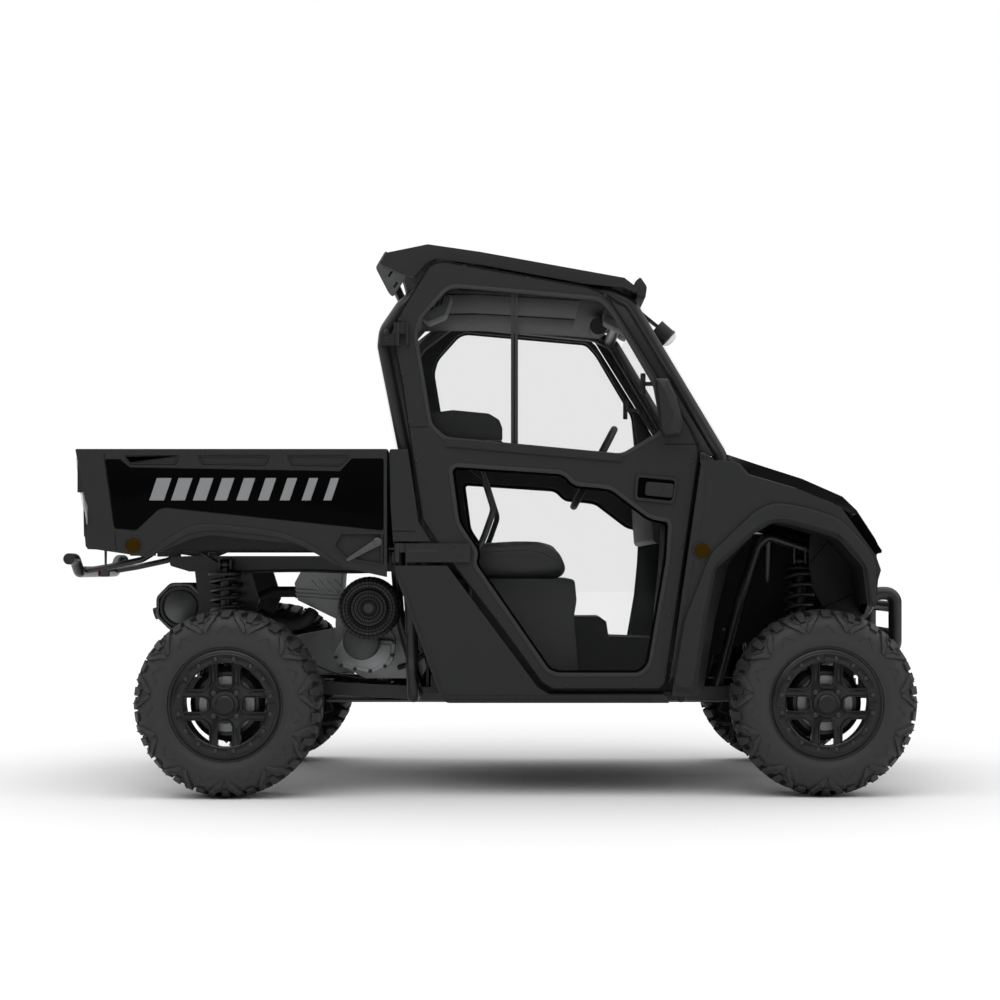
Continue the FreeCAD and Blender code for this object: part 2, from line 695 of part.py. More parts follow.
FRONT_SHOCK_BOTTOM = (
    FRONT_X - 46, -(FRONT_CROSS * -KING_Y + (1 - FRONT_CROSS) * LOWER_PIVOT_Y),
    FRONT_CROSS * LOWER_JOINT_Z + (1 - FRONT_CROSS) * LOWER_PIVOT_Z)
FRONT_SHOCK_TOP = (FRONT_X - 36, -312, 806)
REAR_SHOCK_BOTTOM = (
    REAR_X - 45, -(0.55 * REAR_KNUCKLE_Y + 0.45 * REAR_LOWER_PIVOT[0]),
    0.55 * LOWER_JOINT_Z + 0.45 * REAR_LOWER_PIVOT[1])
REAR_SHOCK_TOP = (REAR_X - 52, -418, 795)
front_shock = damper(FRONT_SHOCK_BOTTOM, FRONT_SHOCK_TOP, size("spring_radius"), 0.47, BAR - 3)
rear_shock = damper(REAR_SHOCK_BOTTOM, REAR_SHOCK_TOP, size("rear_spring_radius"), 0.5, BAR - 3)
add_shape("front_shocks", both_sides(front_shock))
add_shape("rear_shocks", both_sides(rear_shock))


# Chassis frame

def clevis(point, inner_y, outer_y, z_low, z_high):
    """Two plates and the pin between them that hold the top eye of a damper."""
    x, y, z = point
    solids = [box(x + s * 20 - 3, x + s * 20 + 3, outer_y, inner_y, z_low, z_high) for s in (-1, 1)]
    solids.append(rod((x - 22, y, z), (x + 22, y, z), size("pivot_pin_radius")))
    return solids


def chassis_side():
    """The right half's rails, posts and plates."""
    y0, y1 = -RAIL_Y - RAIL_HALF, -RAIL_Y + RAIL_HALF
    pivot_x, pivot_z = size("bed_pivot_x"), size("bed_pivot_z")
    upper = box(REAR_X - 195, -318, y0, y1, UPPER_BOTTOM, UPPER_TOP)
    lug = side_prism([(pivot_x - 16, pivot_z - 16, 12), (REAR_X - 190, UPPER_BOTTOM), (REAR_X - 190, UPPER_TOP),
                      (pivot_x - 16, pivot_z + 16, 12)], y0, y1)
    slot = box(pivot_x - 40, pivot_x + 34, -RAIL_Y - 12, -RAIL_Y + 12, 0, 2000)
    pin = rod((pivot_x, y0, pivot_z), (pivot_x, y1, pivot_z), size("pivot_pin_radius"))
    lug = lug.cut(slot).fuse(pin)
    tower = side_prism(
        [(REAR_X - 180, UPPER_TOP), (REAR_X + 10, UPPER_TOP), (REAR_X + 60, 667, 20), (REAR_X + 10, 560, 20),
         (REAR_X - 40, LOWER_TOP), (REAR_X - 130, LOWER_TOP), (REAR_X - 160, 660, 30)],
        -TOWER_Y - TOWER_HALF, -TOWER_Y + TOWER_HALF)
    lower = side_prism(
        [(REAR_X + 278, LOWER_TOP + 20), (-220, LOWER_TOP), (660, LOWER_TOP), (FRONT_X + 230, LOWER_TOP + 8),
         (FRONT_X + 230, LOWER_BOTTOM + 20), (660, LOWER_BOTTOM + 4), (-220, LOWER_BOTTOM + 4),
         (REAR_X + 278, LOWER_BOTTOM + 26)], -LOWER_RAIL_Y - RAIL_HALF, -LOWER_RAIL_Y + RAIL_HALF)
    cradle = box(REAR_X - 180, REAR_X + 300, -CRADLE_Y - CRADLE_HALF, -CRADLE_Y + CRADLE_HALF,
                 LOWER_BOTTOM + 26, LOWER_TOP + 20)
    foot_pan = box(REAR_X - 86, REAR_X - 46, -TOWER_Y, -CRADLE_Y, LOWER_BOTTOM + 2, LOWER_BOTTOM + 22)
    foot_leg = box(REAR_X - 86, REAR_X - 46, -TOWER_Y - TOWER_HALF, -TOWER_Y + 22, LOWER_BOTTOM + 2, LOWER_TOP)
    cradle_leg = box(REAR_X - 86, REAR_X - 46, -CRADLE_Y - CRADLE_HALF, -CRADLE_Y + CRADLE_HALF,
                     LOWER_BOTTOM + 2, LOWER_TOP)
    outrigger = box(REAR_X + 278, REAR_X + 318, -LOWER_RAIL_Y, -CRADLE_Y, LOWER_BOTTOM + 26, LOWER_TOP + 16)
    post = bent_tube([(-250, -LOWER_RAIL_Y, LOWER_TOP - 20), (-322, -RAIL_Y, 600), (-338, -RAIL_Y, UPPER_TOP - 20)],
                     18, 120)
    front_post = bent_tube([(820, -LOWER_RAIL_Y, LOWER_TOP - 20), (905, -300, 660), (975, -300, 868),
                            (1010, -300, 895), (1290, -300, 800)], 19, 60)
    pads = []
    for s in (-1, 1):
        x = FRONT_X + s * FRONT_SPREAD
        pads.append(box(x - 20, x + 20, -PAD_Y, -PAD_Y + 44, LOWER_TOP - 30, UPPER_PIVOT_Z + 24))
        top = (1010, -300, 885) if s < 0 else (1284, -300, 802)
        pads.append(rod((x, -PAD_Y + 22, UPPER_PIVOT_Z), top, 15))
    rack_x, rack_z = FRONT_X - STEER_ARM, ROD_Z - RACK_DROP
    guide = box(1018, rack_x + 20, -PAD_Y + 10, -PAD_Y + 34, rack_z - 16, rack_z + 16)
    guide = guide.cut(rod((rack_x, -PAD_Y, rack_z), (rack_x, -PAD_Y + 50, rack_z), RACK_RADIUS + RUN))
    front_clevis = clevis(FRONT_SHOCK_TOP, -288, -330, 796, 858)
    rear_clevis = clevis(REAR_SHOCK_TOP, -RAIL_Y - RAIL_HALF + 4, -436, 778, 812)
    rest = box(-440, -400, -RAIL_Y - 20, -RAIL_Y + 20, UPPER_TOP - 4, BED_UNDER_Z - FIT)
    pieces = [upper, lug, tower, lower, cradle, foot_pan, foot_leg, cradle_leg, outrigger, post, front_post, rest]
    return pieces + pads + front_clevis + rear_clevis + [guide]



def chassis_shape():
    side = chassis_side()
    cross = [
        box(x, x + 40, -RAIL_Y, RAIL_Y, UPPER_BOTTOM + 8, UPPER_TOP - 8) for x in (REAR_X - 170, REAR_X + 60, -420)
    ]
    cross += [
        box(x, x + 44, -LOWER_RAIL_Y, LOWER_RAIL_Y, LOWER_BOTTOM + 10, LOWER_TOP - 8)
        for x in (-420, -240, 250, 640, 1330)
    ]
    cross += [
        box(x, x + 36, -CRADLE_Y, CRADLE_Y, LOWER_BOTTOM + 34, LOWER_TOP + 6) for x in (REAR_X - 175, REAR_X + 250)
    ]
    cross.append(rod((1010, -300, 888), (1010, 300, 888), 17))
    cross.append(rod((1280, -300, 804), (1280, 300, 804), 17))
    hitch_end = HITCH_PIN_X - 30
    hitch = box(hitch_end, REAR_X - 150, -34, 34, LOWER_BOTTOM + 26, LOWER_TOP + 20)
    receiver = box(hitch_end - 2, REAR_X - 130, -26, 26, LOWER_BOTTOM + 34, LOWER_TOP + 12)
    pin_z = (LOWER_BOTTOM + 26 + LOWER_TOP + 20) / 2
    pin_hole = rod((HITCH_PIN_X, -40, pin_z), (HITCH_PIN_X, 40, pin_z), size("hitch_pin_radius"))
    cross.append(hitch.cut([receiver, pin_hole]))
    return joined(side + [mirrored(s) for s in side] + cross)


add_shape("chassis_frame", chassis_shape())

skid_top = LOWER_BOTTOM + 4 - FIT
skid_low = skid_top - size("skid_thickness")
skid_line = [(-590, skid_top), (-590, skid_low), (1190, skid_low), (1300, skid_top), (1298, 2 * skid_top - skid_low),
             (1188, skid_top)]
side_body("skid_plate", skid_line, "Sizes.skid_half_width")


# Cab floor, seats and dashboard

FLOOR_Z = size("floor_z")
SILL_Y = 672
cab_floor = [
    box(-216, 636, -SILL_Y, SILL_Y, LOWER_TOP + FIT, FLOOR_Z),
    side_prism([(628, LOWER_TOP + FIT), (640, LOWER_TOP + FIT), (742, 620), (742, 700), (732, 700), (732, 624),
                (628, FLOOR_Z)], -465, 465),
    side_prism([(306, FLOOR_Z), (306, 602, 12), (405, 602, 12), (430, 584), (438, 529), (619, 522, 12),
                (640, FLOOR_Z)], -140, 140),
]
for s in (-1, 1):
    a, b = s * (SILL_Y - 46), s * SILL_Y
    cab_floor.append(box(-196, 640, min(a, b), max(a, b), FLOOR_Z - 4, size("sill_top_z")))
add_shape("floor_tub", joined(cab_floor))

SEAT_TOP = size("seat_top_z")
SEAT_WALL = size("seat_wall")
seat_outline = [(-190, FLOOR_Z + FIT), (-190, 600), (-262, SEAT_TOP, 10), (301, SEAT_TOP, 16), (308, 669, 20),
                (298, 609, 20), (312, 430, 20), (296, FLOOR_Z + FIT)]
seat_inner = [(-190 + SEAT_WALL, FLOOR_Z - 20), (-190 + SEAT_WALL, 600), (-240, SEAT_TOP - SEAT_WALL),
              (301 - SEAT_WALL, SEAT_TOP - SEAT_WALL), (294, 669), (284, 609), (292, 430),
              (296 - SEAT_WALL, FLOOR_Z - 20)]
tunnel_notch = [(298, 360), (330, 360), (330, 620), (298, 620)]
seat_base = side_body("seat_base", seat_outline, "Sizes.seat_half_width")
for name, outline, reach in (("hollow", seat_inner, "Sizes.seat_half_width - Sizes.seat_wall"),
                             ("notch", tunnel_notch, "150")):
    room = add_sketch(seat_base, "seat_" + name, "XZ_Plane", [corner_edges(outline)], f"-({reach})")
    add_feature(seat_base, "Pocket", room, f"2 * ({reach})", True)

CUSHION_Y = (30, 586)
cushion = side_prism(
    [(-198, SEAT_TOP + FIT, 16), (270, SEAT_TOP + FIT, 20), (293, 789, 18), (251, 855, 30), (181, 873, 60),
     (-64, 862, 60), (-196, 834, 20)], -CUSHION_Y[1], -CUSHION_Y[0])
add_shape("seat_cushions", both_sides(cushion))
backrest = side_prism(
    [(-204, SEAT_TOP + FIT), (-206, 850, 30), (-222, 1312, 24), (-250, 1340, 12), (-276, 1320, 20), (-270, 810, 20),
     (-258, SEAT_TOP + FIT)], -CUSHION_Y[1], -CUSHION_Y[0])
add_shape("seat_backs", both_sides(backrest))

dash_outline = [(574, 868, 20), (560, 1060, 30), (596, 1150, 40), (720, 1184, 20), (760, 1150), (748, 860)]
dash_inner = [(590, 860), (576, 1058), (606, 1138), (716, 1170), (780, 1140), (780, 820), (600, 820)]
dash = side_prism(dash_outline, -600, 600).cut(side_prism(dash_inner, -588, 588))
TILT = math.radians(size("steering_tilt"))
COLUMN = V(math.cos(TILT), 0, -math.sin(TILT))
COLUMN_RADIUS = size("column_radius")
WHEEL_CENTRE = V(size("steering_wheel_x"), size("steering_wheel_y"), size("steering_wheel_z"))
column_room = Part.makeCylinder(COLUMN_RADIUS + RUN, 400, WHEEL_CENTRE, COLUMN)


# Cab frame, roof and glass

TUBE = size("cab_tube_radius")
TUBE_Y = size("cab_tube_y")


def hoop(radius):
    """Right side of the cab frame: front pillar, roof rail and rear post in one bent tube."""
    y = -TUBE_Y
    line = [(700, 640), (806, 1160), (488, 1692), (414, 1728), (-160, 1786), (-292, 1685), (-350, 1600), (-356, 1547),
            (-284, 1187), (-262, 1000), (-262, 560)]
    return bent_tube([(x, y, z) for x, z in line], radius, 60)


def cab_frame_shape():
    y = -TUBE_Y
    end_y = -LOWER_RAIL_Y - RAIL_HALF - FIT
    rear_foot = bent_tube([(-262, y, 580), (-262, y, 450), (-262, -560, 332), (-262, end_y, 332)], TUBE - 4, 60)
    front_foot = bent_tube([(702, y, 650), (680, y, 450), (674, -560, 332), (674, end_y, 332)], TUBE - 4, 60)
    side = [hoop(TUBE), rear_foot, front_foot]
    cross = [
        rod((476, y, 1702), (476, -y, 1702), TUBE - 3),
        rod((-330, y, 1630), (-330, -y, 1630), TUBE - 3),
        rod((-60, y, 1772), (-60, -y, 1772), TUBE - 5),
        rod((796, y, 1130), (796, -y, 1130), TUBE - 5),
    ]
    return joined(side + [mirrored(s) for s in side] + cross)


hoop_room = hoop(TUBE + FIT)
dash_ears = [box(730, 775, -640, -590, 1000, 1030).cut(hoop_room)]
dash_ears.append(mirrored(dash_ears[0]))
add_shape("dashboard", joined([dash] + dash_ears).cut(column_room))

add_shape("cab_frame", cab_frame_shape())


def roof_section(y, drop):
    """One section of the roof: its upper and lower lines at a distance y from the middle."""
    top = [(-347, 1863), (-205, 1892), (-26, 1866), (469, 1777), (520, 1738)]
    low = [(508, 1726), (455, 1748), (-26, 1834), (-190, 1860), (-330, 1835)]
    points = [V(x, y, z + drop) for x, z in top + low]
    return Part.makePolygon(points + points[:1])


crown = size("roof_crown")
half = size("roof_half_width")
sections = [roof_section(y, crown * (1 - (y / half) ** 2)) for y in (-half, -half * 0.6, 0, half * 0.6, half)]
roof = Part.makeLoft(sections, True, False)
side_drop = [
    side_prism([(-347, 1863), (-205, 1892), (-26, 1866), (469, 1777), (511, 1739), (335, 1756), (-26, 1822),
                (-178, 1842), (-209, 1828), (-254, 1777), (-367, 1828)], s * (half - 14), s * half)
    for s in (-1, 1)
]
roof_pads = [
    box(x - 20, x + 20, s * TUBE_Y - 14, s * TUBE_Y + 14, z_low, z_high)
    for x, z_low, z_high in ((300, 1740, 1790), (-100, 1782, 1855)) for s in (-1, 1)
]
roof = joined([roof] + side_drop + roof_pads).cut([hoop_room, mirrored(hoop_room)])
add_shape("roof_panel", roof)


def slab(a, b, y0, y1, thickness):
    """A flat sheet seen edge on in the side view from a to b, with its thickness ahead of the line."""
    (ax, az), (bx, bz) = a, b
    along = V(bx - ax, 0, bz - az).normalize()
    off = V(-along.z, 0, along.x) * thickness
    if off.x < 0:
        off = off * -1
    points = [V(ax, y0, az), V(bx, y0, bz), V(bx, y0, bz) + off, V(ax, y0, az) + off]
    return Part.Face(Part.makePolygon(points + points[:1])).extrude(V(0, y1 - y0, 0))


GLASS = size("glass_thickness")
PILLAR_LOW = V(806, 0, 1160)
PILLAR_HIGH = V(488, 0, 1692)
pillar_line = (PILLAR_HIGH - PILLAR_LOW).normalize()
pillar_out = V(pillar_line.z, 0, -pillar_line.x) * (TUBE + FIT)
screen_low = PILLAR_LOW + pillar_line * 22 + pillar_out
screen_high = PILLAR_LOW + pillar_line * 590 + pillar_out
SCREEN_LOW = (screen_low.x, screen_low.z)
SCREEN_HIGH = (screen_high.x, screen_high.z)
add_shape("windshield", slab(SCREEN_LOW, SCREEN_HIGH, -640, 640, GLASS + 1))

# The rear wall closes the cab behind the seats, below a window between the rear posts
WALL_Y = TUBE_Y - TUBE - 5
wall_line = [(-205, FLOOR_Z + FIT), (-205, 600), (-300, 780), (-300, 1162)]
wall_back = [(-309, 1162), (-309, 778), (-214, 598), (-214, FLOOR_Z + FIT)]
side_body("rear_wall", wall_line + wall_back, "Sizes.cab_tube_y - Sizes.cab_tube_radius - 5")
rear_glass = joined([
    slab((-313, 1164), (-385, 1547), -WALL_Y - 20, WALL_Y + 20, GLASS),
    slab((-385, 1547), (-379, 1600), -WALL_Y - 20, WALL_Y + 20, GLASS),
])
add_shape("rear_window", rear_glass)


# Front body

HOOD_Y = 600
FENDER_Y = 740
SKIN = 8


def skin_between(sections, thickness):
    """A thin panel lofted through side view lines. Each section is (y, [(x, z), ...], drop)."""
    wires = []
    for y, line, drop in sections:
        top = [V(x, y, z - drop) for x, z in line]
        low = []
        for i, point in enumerate(top):
            before = top[max(i - 1, 0)]
            after = top[min(i + 1, len(top) - 1)]
            along = (after - before).normalize()
            low.append(point + V(along.z, 0, -along.x) * thickness)
        ring_points = top + low[::-1]
        wires.append(Part.makePolygon(ring_points + ring_points[:1]))
    return Part.makeLoft(wires, True, True)


hood_line = [(838, 1184), (956, 1145), (1097, 1100), (1238, 1038), (1288, 990), (1352, 892), (1376, 842)]
insert_line = [(838, 1158), (896, 1112), (1049, 1066), (1187, 1011), (1250, 976), (1318, 880), (1345, 838)]
hood_sections = [
    (-HOOD_Y, insert_line, 0), (-HOOD_Y + 50, hood_line, 6), (-330, hood_line, -12), (0, hood_line, -24),
    (330, hood_line, -12), (HOOD_Y - 50, hood_line, 6), (HOOD_Y, insert_line, 0),
]
add_shape("hood", skin_between(hood_sections, SKIN))


def fender_shape():
    """Right front fender: outer skin, upper surface, arch lip and inner liner."""
    outer = [(742, 1152), (848, 1140, 20), (883, 1100, 20), (1067, 1048, 60), (1203, 990, 40), (1322, 826, 20),
             (1340, 775, 10), (1330, 741), (1322, 650), (1300, 650), (1286, 790, 30), (1196, 893, 60),
             (1062, 932, 60), (979, 949, 60), (902, 906, 40), (770, 784, 30), (736, 603), (702, 345), (628, 345),
             (636, 420), (742, 1000)]
    skin = side_prism(outer, -FENDER_Y, -FENDER_Y + SKIN + 4)
    flare_out = [(630, 372), (670, 605), (748, 800, 30), (765, 836, 20), (918, 980, 40), (975, 1004, 40),
                 (1036, 998, 40), (1190, 956, 60), (1294, 850, 30), (1322, 800), (1322, 662), (1302, 662),
                 (1286, 790, 30), (1196, 893, 60), (1062, 932, 60), (979, 949, 60), (902, 906, 40), (770, 784, 30),
                 (736, 603), (702, 366)]
    flare = side_prism(flare_out, -FENDER_Y - 10, -FENDER_Y + 4)
    outer_top = [(742, 1152), (848, 1140), (883, 1100), (1067, 1048), (1203, 990), (1322, 826)]
    inner_top = [(848, 1150), (866, 1140), (898, 1104), (1049, 1060), (1187, 1004), (1318, 858)]
    top = skin_between([(-FENDER_Y, outer_top, 0), (-685, outer_top, 0), (-676, inner_top, 0),
                        (-HOOD_Y - FIT, inner_top, 0)], SKIN)
    liner = side_prism(
        [(702, 345), (736, 603), (770, 784, 30), (902, 906, 40), (979, 949, 60), (1062, 932, 60), (1196, 893, 60),
         (1286, 790, 30), (1302, 660), (1294, 660), (1278, 786, 30), (1191, 885, 60), (1060, 924, 60),
         (979, 941, 60), (907, 898, 40), (778, 780, 30), (744, 603), (710, 345)], -FENDER_Y + 2, -470)
    tab = box(602, 652, -PANEL_INNER_Y + FIT, -PANEL_INNER_Y + 9, 330, 358)
    tab_link = box(630, 652, -FENDER_Y + 6, -PANEL_INNER_Y + 9, 345, 358)
    return joined([skin, flare, top, liner, tab, tab_link])


lamp_outline = [(1262, 968), (1348, 840), (1324, 826), (1226, 946)]
lamp_room = inset(lamp_outline, FIT)
lamp_room.translate(V(0, -FENDER_Y + 26 - FIT, 0))
fender = fender_shape().cut(lamp_room.extrude(V(0, 106 + 2 * FIT, 0)))
add_shape("fender_right", fender)
add_shape("fender_left", mirrored(fender))

front_line = [(1382, 834), (1406, 775), (1394, 735), (1372, 650), (1366, 614)]
mid_line = [(1362, 834), (1384, 775), (1370, 735), (1352, 650), (1346, 614)]
corner_line = [(1346, 830), (1346, 775), (1336, 741), (1330, 700), (1326, 655)]
fascia = skin_between([
    (-620, corner_line, 0), (-430, mid_line, 0), (-200, front_line, 0), (200, front_line, 0), (430, mid_line, 0),
    (620, corner_line, 0),
], 12)
grille_hole = side_prism([(1300, 668), (1440, 668), (1440, 772), (1300, 772)], -300, 300)
lower_slot = side_prism([(1300, 628), (1440, 628), (1440, 654), (1300, 654)], -240, 240)
GUARD_X = HALF_LENGTH - size("guard_radius")
guard_room = bent_tube([(1335, -270, 590), (1400, -270, 690), (GUARD_X, -270, 690)], size("guard_radius") + FIT, 40)
fascia = fascia.cut([grille_hole, lower_slot])
bars = [side_prism([(1366, z), (1396, z + 4), (1396, z + 12), (1366, z + 8)], -306, 306) for z in (686, 712, 738)]
posts = [box(1368, 1380, s * 100 - 4, s * 100 + 4, 660, 780) for s in (-2, -1, 0, 1, 2)]
fascia = joined([fascia] + bars + posts).cut([guard_room, mirrored(guard_room)])
add_shape("front_fascia", fascia)

lamp = side_prism(lamp_outline, -FENDER_Y + 26, -FENDER_Y + 132)
front_marker = rod((724, -FENDER_Y - FIT, 843), (724, -FENDER_Y - 9, 843), 27)
front_lamps = [lamp, front_marker]
add_shape("front_lamps", Part.makeCompound(front_lamps + [mirrored(piece) for piece in front_lamps]))


# Side panels

HINGE_X = size("hinge_x")
HINGE_Y = -size("hinge_y")
HINGE_SEAT_Y = 709

seam = [(-323, 1544), (-299, 1424), (-264, 1185), (-237, 1014), (-227, 946), (-176, 867), (-135, 809), (43, 577),
        (180, 389), (221, 362), (589, 362), (613, 386), (726, 1168), (723, 1202), (692, 1270), (425, 1697),
        (384, 1732), (333, 1749), (-145, 1834), (-176, 1831), (-203, 1817), (-299, 1663), (-319, 1612)]


def side_panel_shape():
    """Right rear quarter and the sill that runs under the door."""
    outline = [(-334, 1187, 8), (-272, 1187), (-246, 1014), (-236, 940), (-194, 873), (-304, 873), (-304, 790),
               (-138, 790), (172, 374), (214, 350, 20), (596, 350, 10), (614, 344), (618, size("sill_z")),
               (-144, size("sill_z"), 20),
               (-315, 775, 40), (-330, 1000)]
    panel = side_prism(outline, -PANEL_Y, -PANEL_INNER_Y)
    panel = panel.cut(box(HINGE_X - 18, -300, -PANEL_Y - 5, -HINGE_SEAT_Y, 790, 873))
    rib = side_prism([(-300, 760), (-150, 345), (560, 345), (560, 338), (-158, 338), (-312, 756)],
                     -PANEL_Y - 4, -PANEL_Y + 6)
    sill = box(-150, 600, -PANEL_INNER_Y - 4, -SILL_Y + 24, 330, LOWER_TOP)
    return joined([panel, rib, sill])


side_panel = side_panel_shape()
add_shape("side_panel_right", side_panel)
add_shape("side_panel_left", mirrored(side_panel))

guard_line = [(1335, -270, 590), (1400, -270, 690), (GUARD_X, -270, 690), (GUARD_X, -270, 500), (1362, -270, 388)]
guard_loop = bent_tube(guard_line, size("guard_radius"), 40)
guard_foot = box(1340, 1384, -302, -258, LOWER_TOP + 8 + FIT, LOWER_TOP + 34)
guard_cross = [rod((GUARD_X, -270, z), (GUARD_X, 270, z), size("guard_radius") - 4) for z in (640, 540)]
guard_side = [guard_loop, guard_foot]
guard = joined(guard_side + [mirrored(piece) for piece in guard_side] + guard_cross)
add_shape("front_guard", guard)


# Engine, drive and exhaust

def engine_shape():
    cylinder = side_prism([(-700, 664), (-712, 727), (-682, 782, 10), (-534, 771, 10), (-548, 590)], -230, -60)
    head = side_prism([(-706, 716), (-684, 782), (-536, 772), (-540, 712)], -242, -48)
    crankcase = side_prism([(-560, 600, 20), (-500, 640, 20), (-330, 620, 30), (-262, 540, 30), (-228, 420, 30),
                            (-250, 381, 20), (-453, 381, 20), (-560, 440, 20)], -260, 150)
    gearbox = side_prism([(-560, 560, 20), (-480, 590), (-480, 400), (-900, 372, 30), (-950, 400, 20),
                          (-950, 470, 20), (-880, 500, 30)], -130, 110)
    housing = rod((-430, -250, 640), (-430, -372, 640), 62)
    lower_housing = rod((-430, -250, 500), (-430, -300, 500), 90)
    plates = [
        side_prism([(-708, 672 + 14 * i), (-536, 660 + 14 * i), (-536, 665 + 14 * i), (-708, 677 + 14 * i)], -246, -44)
        for i in range(3)
    ]
    foot = box(-418, -380, -120, 120, LOWER_TOP - 8 + FIT, 384)
    output = rod((REAR_X, -150, 425), (REAR_X, 150, 425), 34)
    return joined([cylinder, head, crankcase, gearbox, housing, lower_housing, foot, output] + plates)


add_shape("engine", engine_shape())


def drive_cover_body():
    """Round cover of the belt drive: turned rings, a crown of cooling slots and a lower lobe."""
    outer = size("cover_radius")
    back, face, crest = 0, 80, 94
    section = [(0, back), (outer, back), (outer, face - 8), (outer - 8, face)]
    for r in (92, 74, 56, 38):
        section += [(r, face), (r, crest), (r - 7, crest), (r - 7, face)]
    section += [(16, face), (16, crest + 2), (0, crest + 2)]
    body = add_body("drive_cover")
    turned = [(r, -y) for r, y in section]
    add_turned(body, add_sketch(body, "cover_section", "XY_Plane", [corner_edges(turned)]))
    slot = [(outer - 2, -2), (outer + 5, -2), (outer + 5, 2), (outer - 2, 2)]
    slots = add_sketch(body, "cover_slot", "XZ_Plane", [corner_edges(slot)], "12")
    add_pattern(body, add_feature(body, "Pocket", slots, "54", True), "Sizes.cover_slots")
    lobe = add_circle_sketch(body, "cover_lobe", "XZ_Plane", [(-30, -120, 66, "66")])
    add_feature(body, "Pad", lobe, "57.7")
    return keep(body, "drive_cover")


drive_cover_body().Placement = FreeCAD.Placement(V(-424, -372 - FIT, 640), FreeCAD.Rotation())


def muffler_shape():
    cx, cz = -1112, 642
    flat = 86
    corners = []
    for k in range(8):
        angle = math.radians(22.5 + 45 * k)
        corners.append((cx + flat / math.cos(math.radians(22.5)) * math.cos(angle),
                        cz + flat / math.cos(math.radians(22.5)) * math.sin(angle), 10))
    body = side_prism(corners, -316, -70)
    cap_ring = rod((cx, -300, cz), (cx, -330, cz), 74).cut(rod((cx, -296, cz), (cx, -340, cz), 66))
    disc = rod((cx, -310, cz), (cx, -322, cz), 60)
    hanger = box(cx + 40, cx + 66, -216, -190, cz + 70, UPPER_BOTTOM + 8 - FIT)
    tail = rod((cx - 30, -120, cz), (cx - 130, -120, cz - 30), 22)
    pipe = bent_tube([(cx + 60, -110, cz), (-930, -110, cz), (-800, -140, 694), (-713, -140, 694)], 20, 60)
    return joined([body, cap_ring, disc, hanger, tail, pipe])


add_shape("muffler", muffler_shape())


def half_shaft(inner, outer, r):
    a, b = V(*inner), V(*outer)
    along = (b - a).normalize()
    shaft = Part.makeCylinder(r, (b - a).Length, a, along)
    boots = []
    for start, direction in ((a, along), (b, along * -1)):
        boots.append(Part.makeCone(34, 18, 66, start + direction * 10, direction))
    return joined([shaft] + boots)


rear_shaft = half_shaft((REAR_X, -153.6, 425), (REAR_X, -REAR_KNUCKLE_Y + 21.6, AXLE_Z), 13)
front_shaft = half_shaft((FRONT_X, -115.3, 425), (FRONT_X, KING_Y + 40, AXLE_Z + 8), 13)
gear_outline = [(FRONT_X - 90, 380, 20), (FRONT_X - 70, 462, 20), (FRONT_X + 60, 470, 30), (FRONT_X + 90, 380, 20)]
front_gear = joined([
    side_prism(gear_outline, -80, 80),
    rod((FRONT_X, -111.7, 425), (FRONT_X, 111.7, 425), 34),
    box(FRONT_X - 20, FRONT_X + 20, -60, 60, LOWER_TOP + 10, LOWER_TOP + 40),
    box(FRONT_X - 20, FRONT_X + 20, -236, 236, LOWER_TOP + 6 + FIT, LOWER_TOP + 20),
    box(FRONT_X - 20, FRONT_X + 20, -LOWER_RAIL_Y - 10, LOWER_RAIL_Y + 10, LOWER_TOP + 6 + FIT, LOWER_TOP + 12),
])
add_shape("drive_shafts", Part.makeCompound([rear_shaft, mirrored(rear_shaft), front_shaft, mirrored(front_shaft)]))
add_shape("front_gearcase", front_gear)


# Small parts of the cab

restraint = [
    side_prism([(-212, 1318, 14), (-122, 1330, 20), (3, 1318, 20), (39, 1296, 16), (50, 1267, 10), (50, 1224, 8),
                (-212, 1224, 8)], -606, -590),
    bent_tube([(-200, -608, 1262), (-31, -608, 1147), (20, -608, 985), (-10, -608, 900), (-60, -608, 780),
               (-80, -608, FLOOR_Z + 3 * FIT)], 11, 50),
    rod((-299, -TUBE_Y, 1262), (-190, -606, 1262), 11).cut(hoop_room),
]
add_shape("restraint_bars", both_sides(joined(restraint)))

motor = joined([rod((400, -180, 1672), (400, -60, 1672), 32), box(400, 453.7, -140, -100, 1692, 1712)])
roof_under = [(505, 1728), (505, 1759.6), (512, 1759.6), (514, 1738), (612, 1658), (606, 1650)]
screen_pieces = [motor]
for s in (-1, 1):
    y = s * 300
    head = rod((604, y, 1652), (648, y, 1612), 32)
    screen_pieces.append(joined([side_prism(roof_under, y - 14, y + 14), head]))
add_shape("screen_fittings", Part.makeCompound(screen_pieces))


# Door hinges on the cab

BARREL = size("hinge_barrel_radius")
HINGE_PIN = size("hinge_pin_radius")
UPPER_HINGE = (1540, 1579, 1618)
LOWER_HINGE = (802, 834, 866)


def hinge_bracket(levels):
    """Fixed half of a door hinge: plate, lower barrel and the pin that stands out of it."""
    low, middle, high = levels
    tube_face = -TUBE_Y - TUBE
    plate = box(HINGE_X - 54, HINGE_X - 40, HINGE_Y, tube_face + 12, low, middle)
    arm = box(HINGE_X - 54, HINGE_X, HINGE_Y - 4, HINGE_Y + 4, low, middle)
    barrel = rod((HINGE_X, HINGE_Y, low), (HINGE_X, HINGE_Y, middle), BARREL)
    pin = rod((HINGE_X, HINGE_Y, low), (HINGE_X, HINGE_Y, high), HINGE_PIN)
    return joined([plate, arm, barrel, pin]).cut(hoop_room)


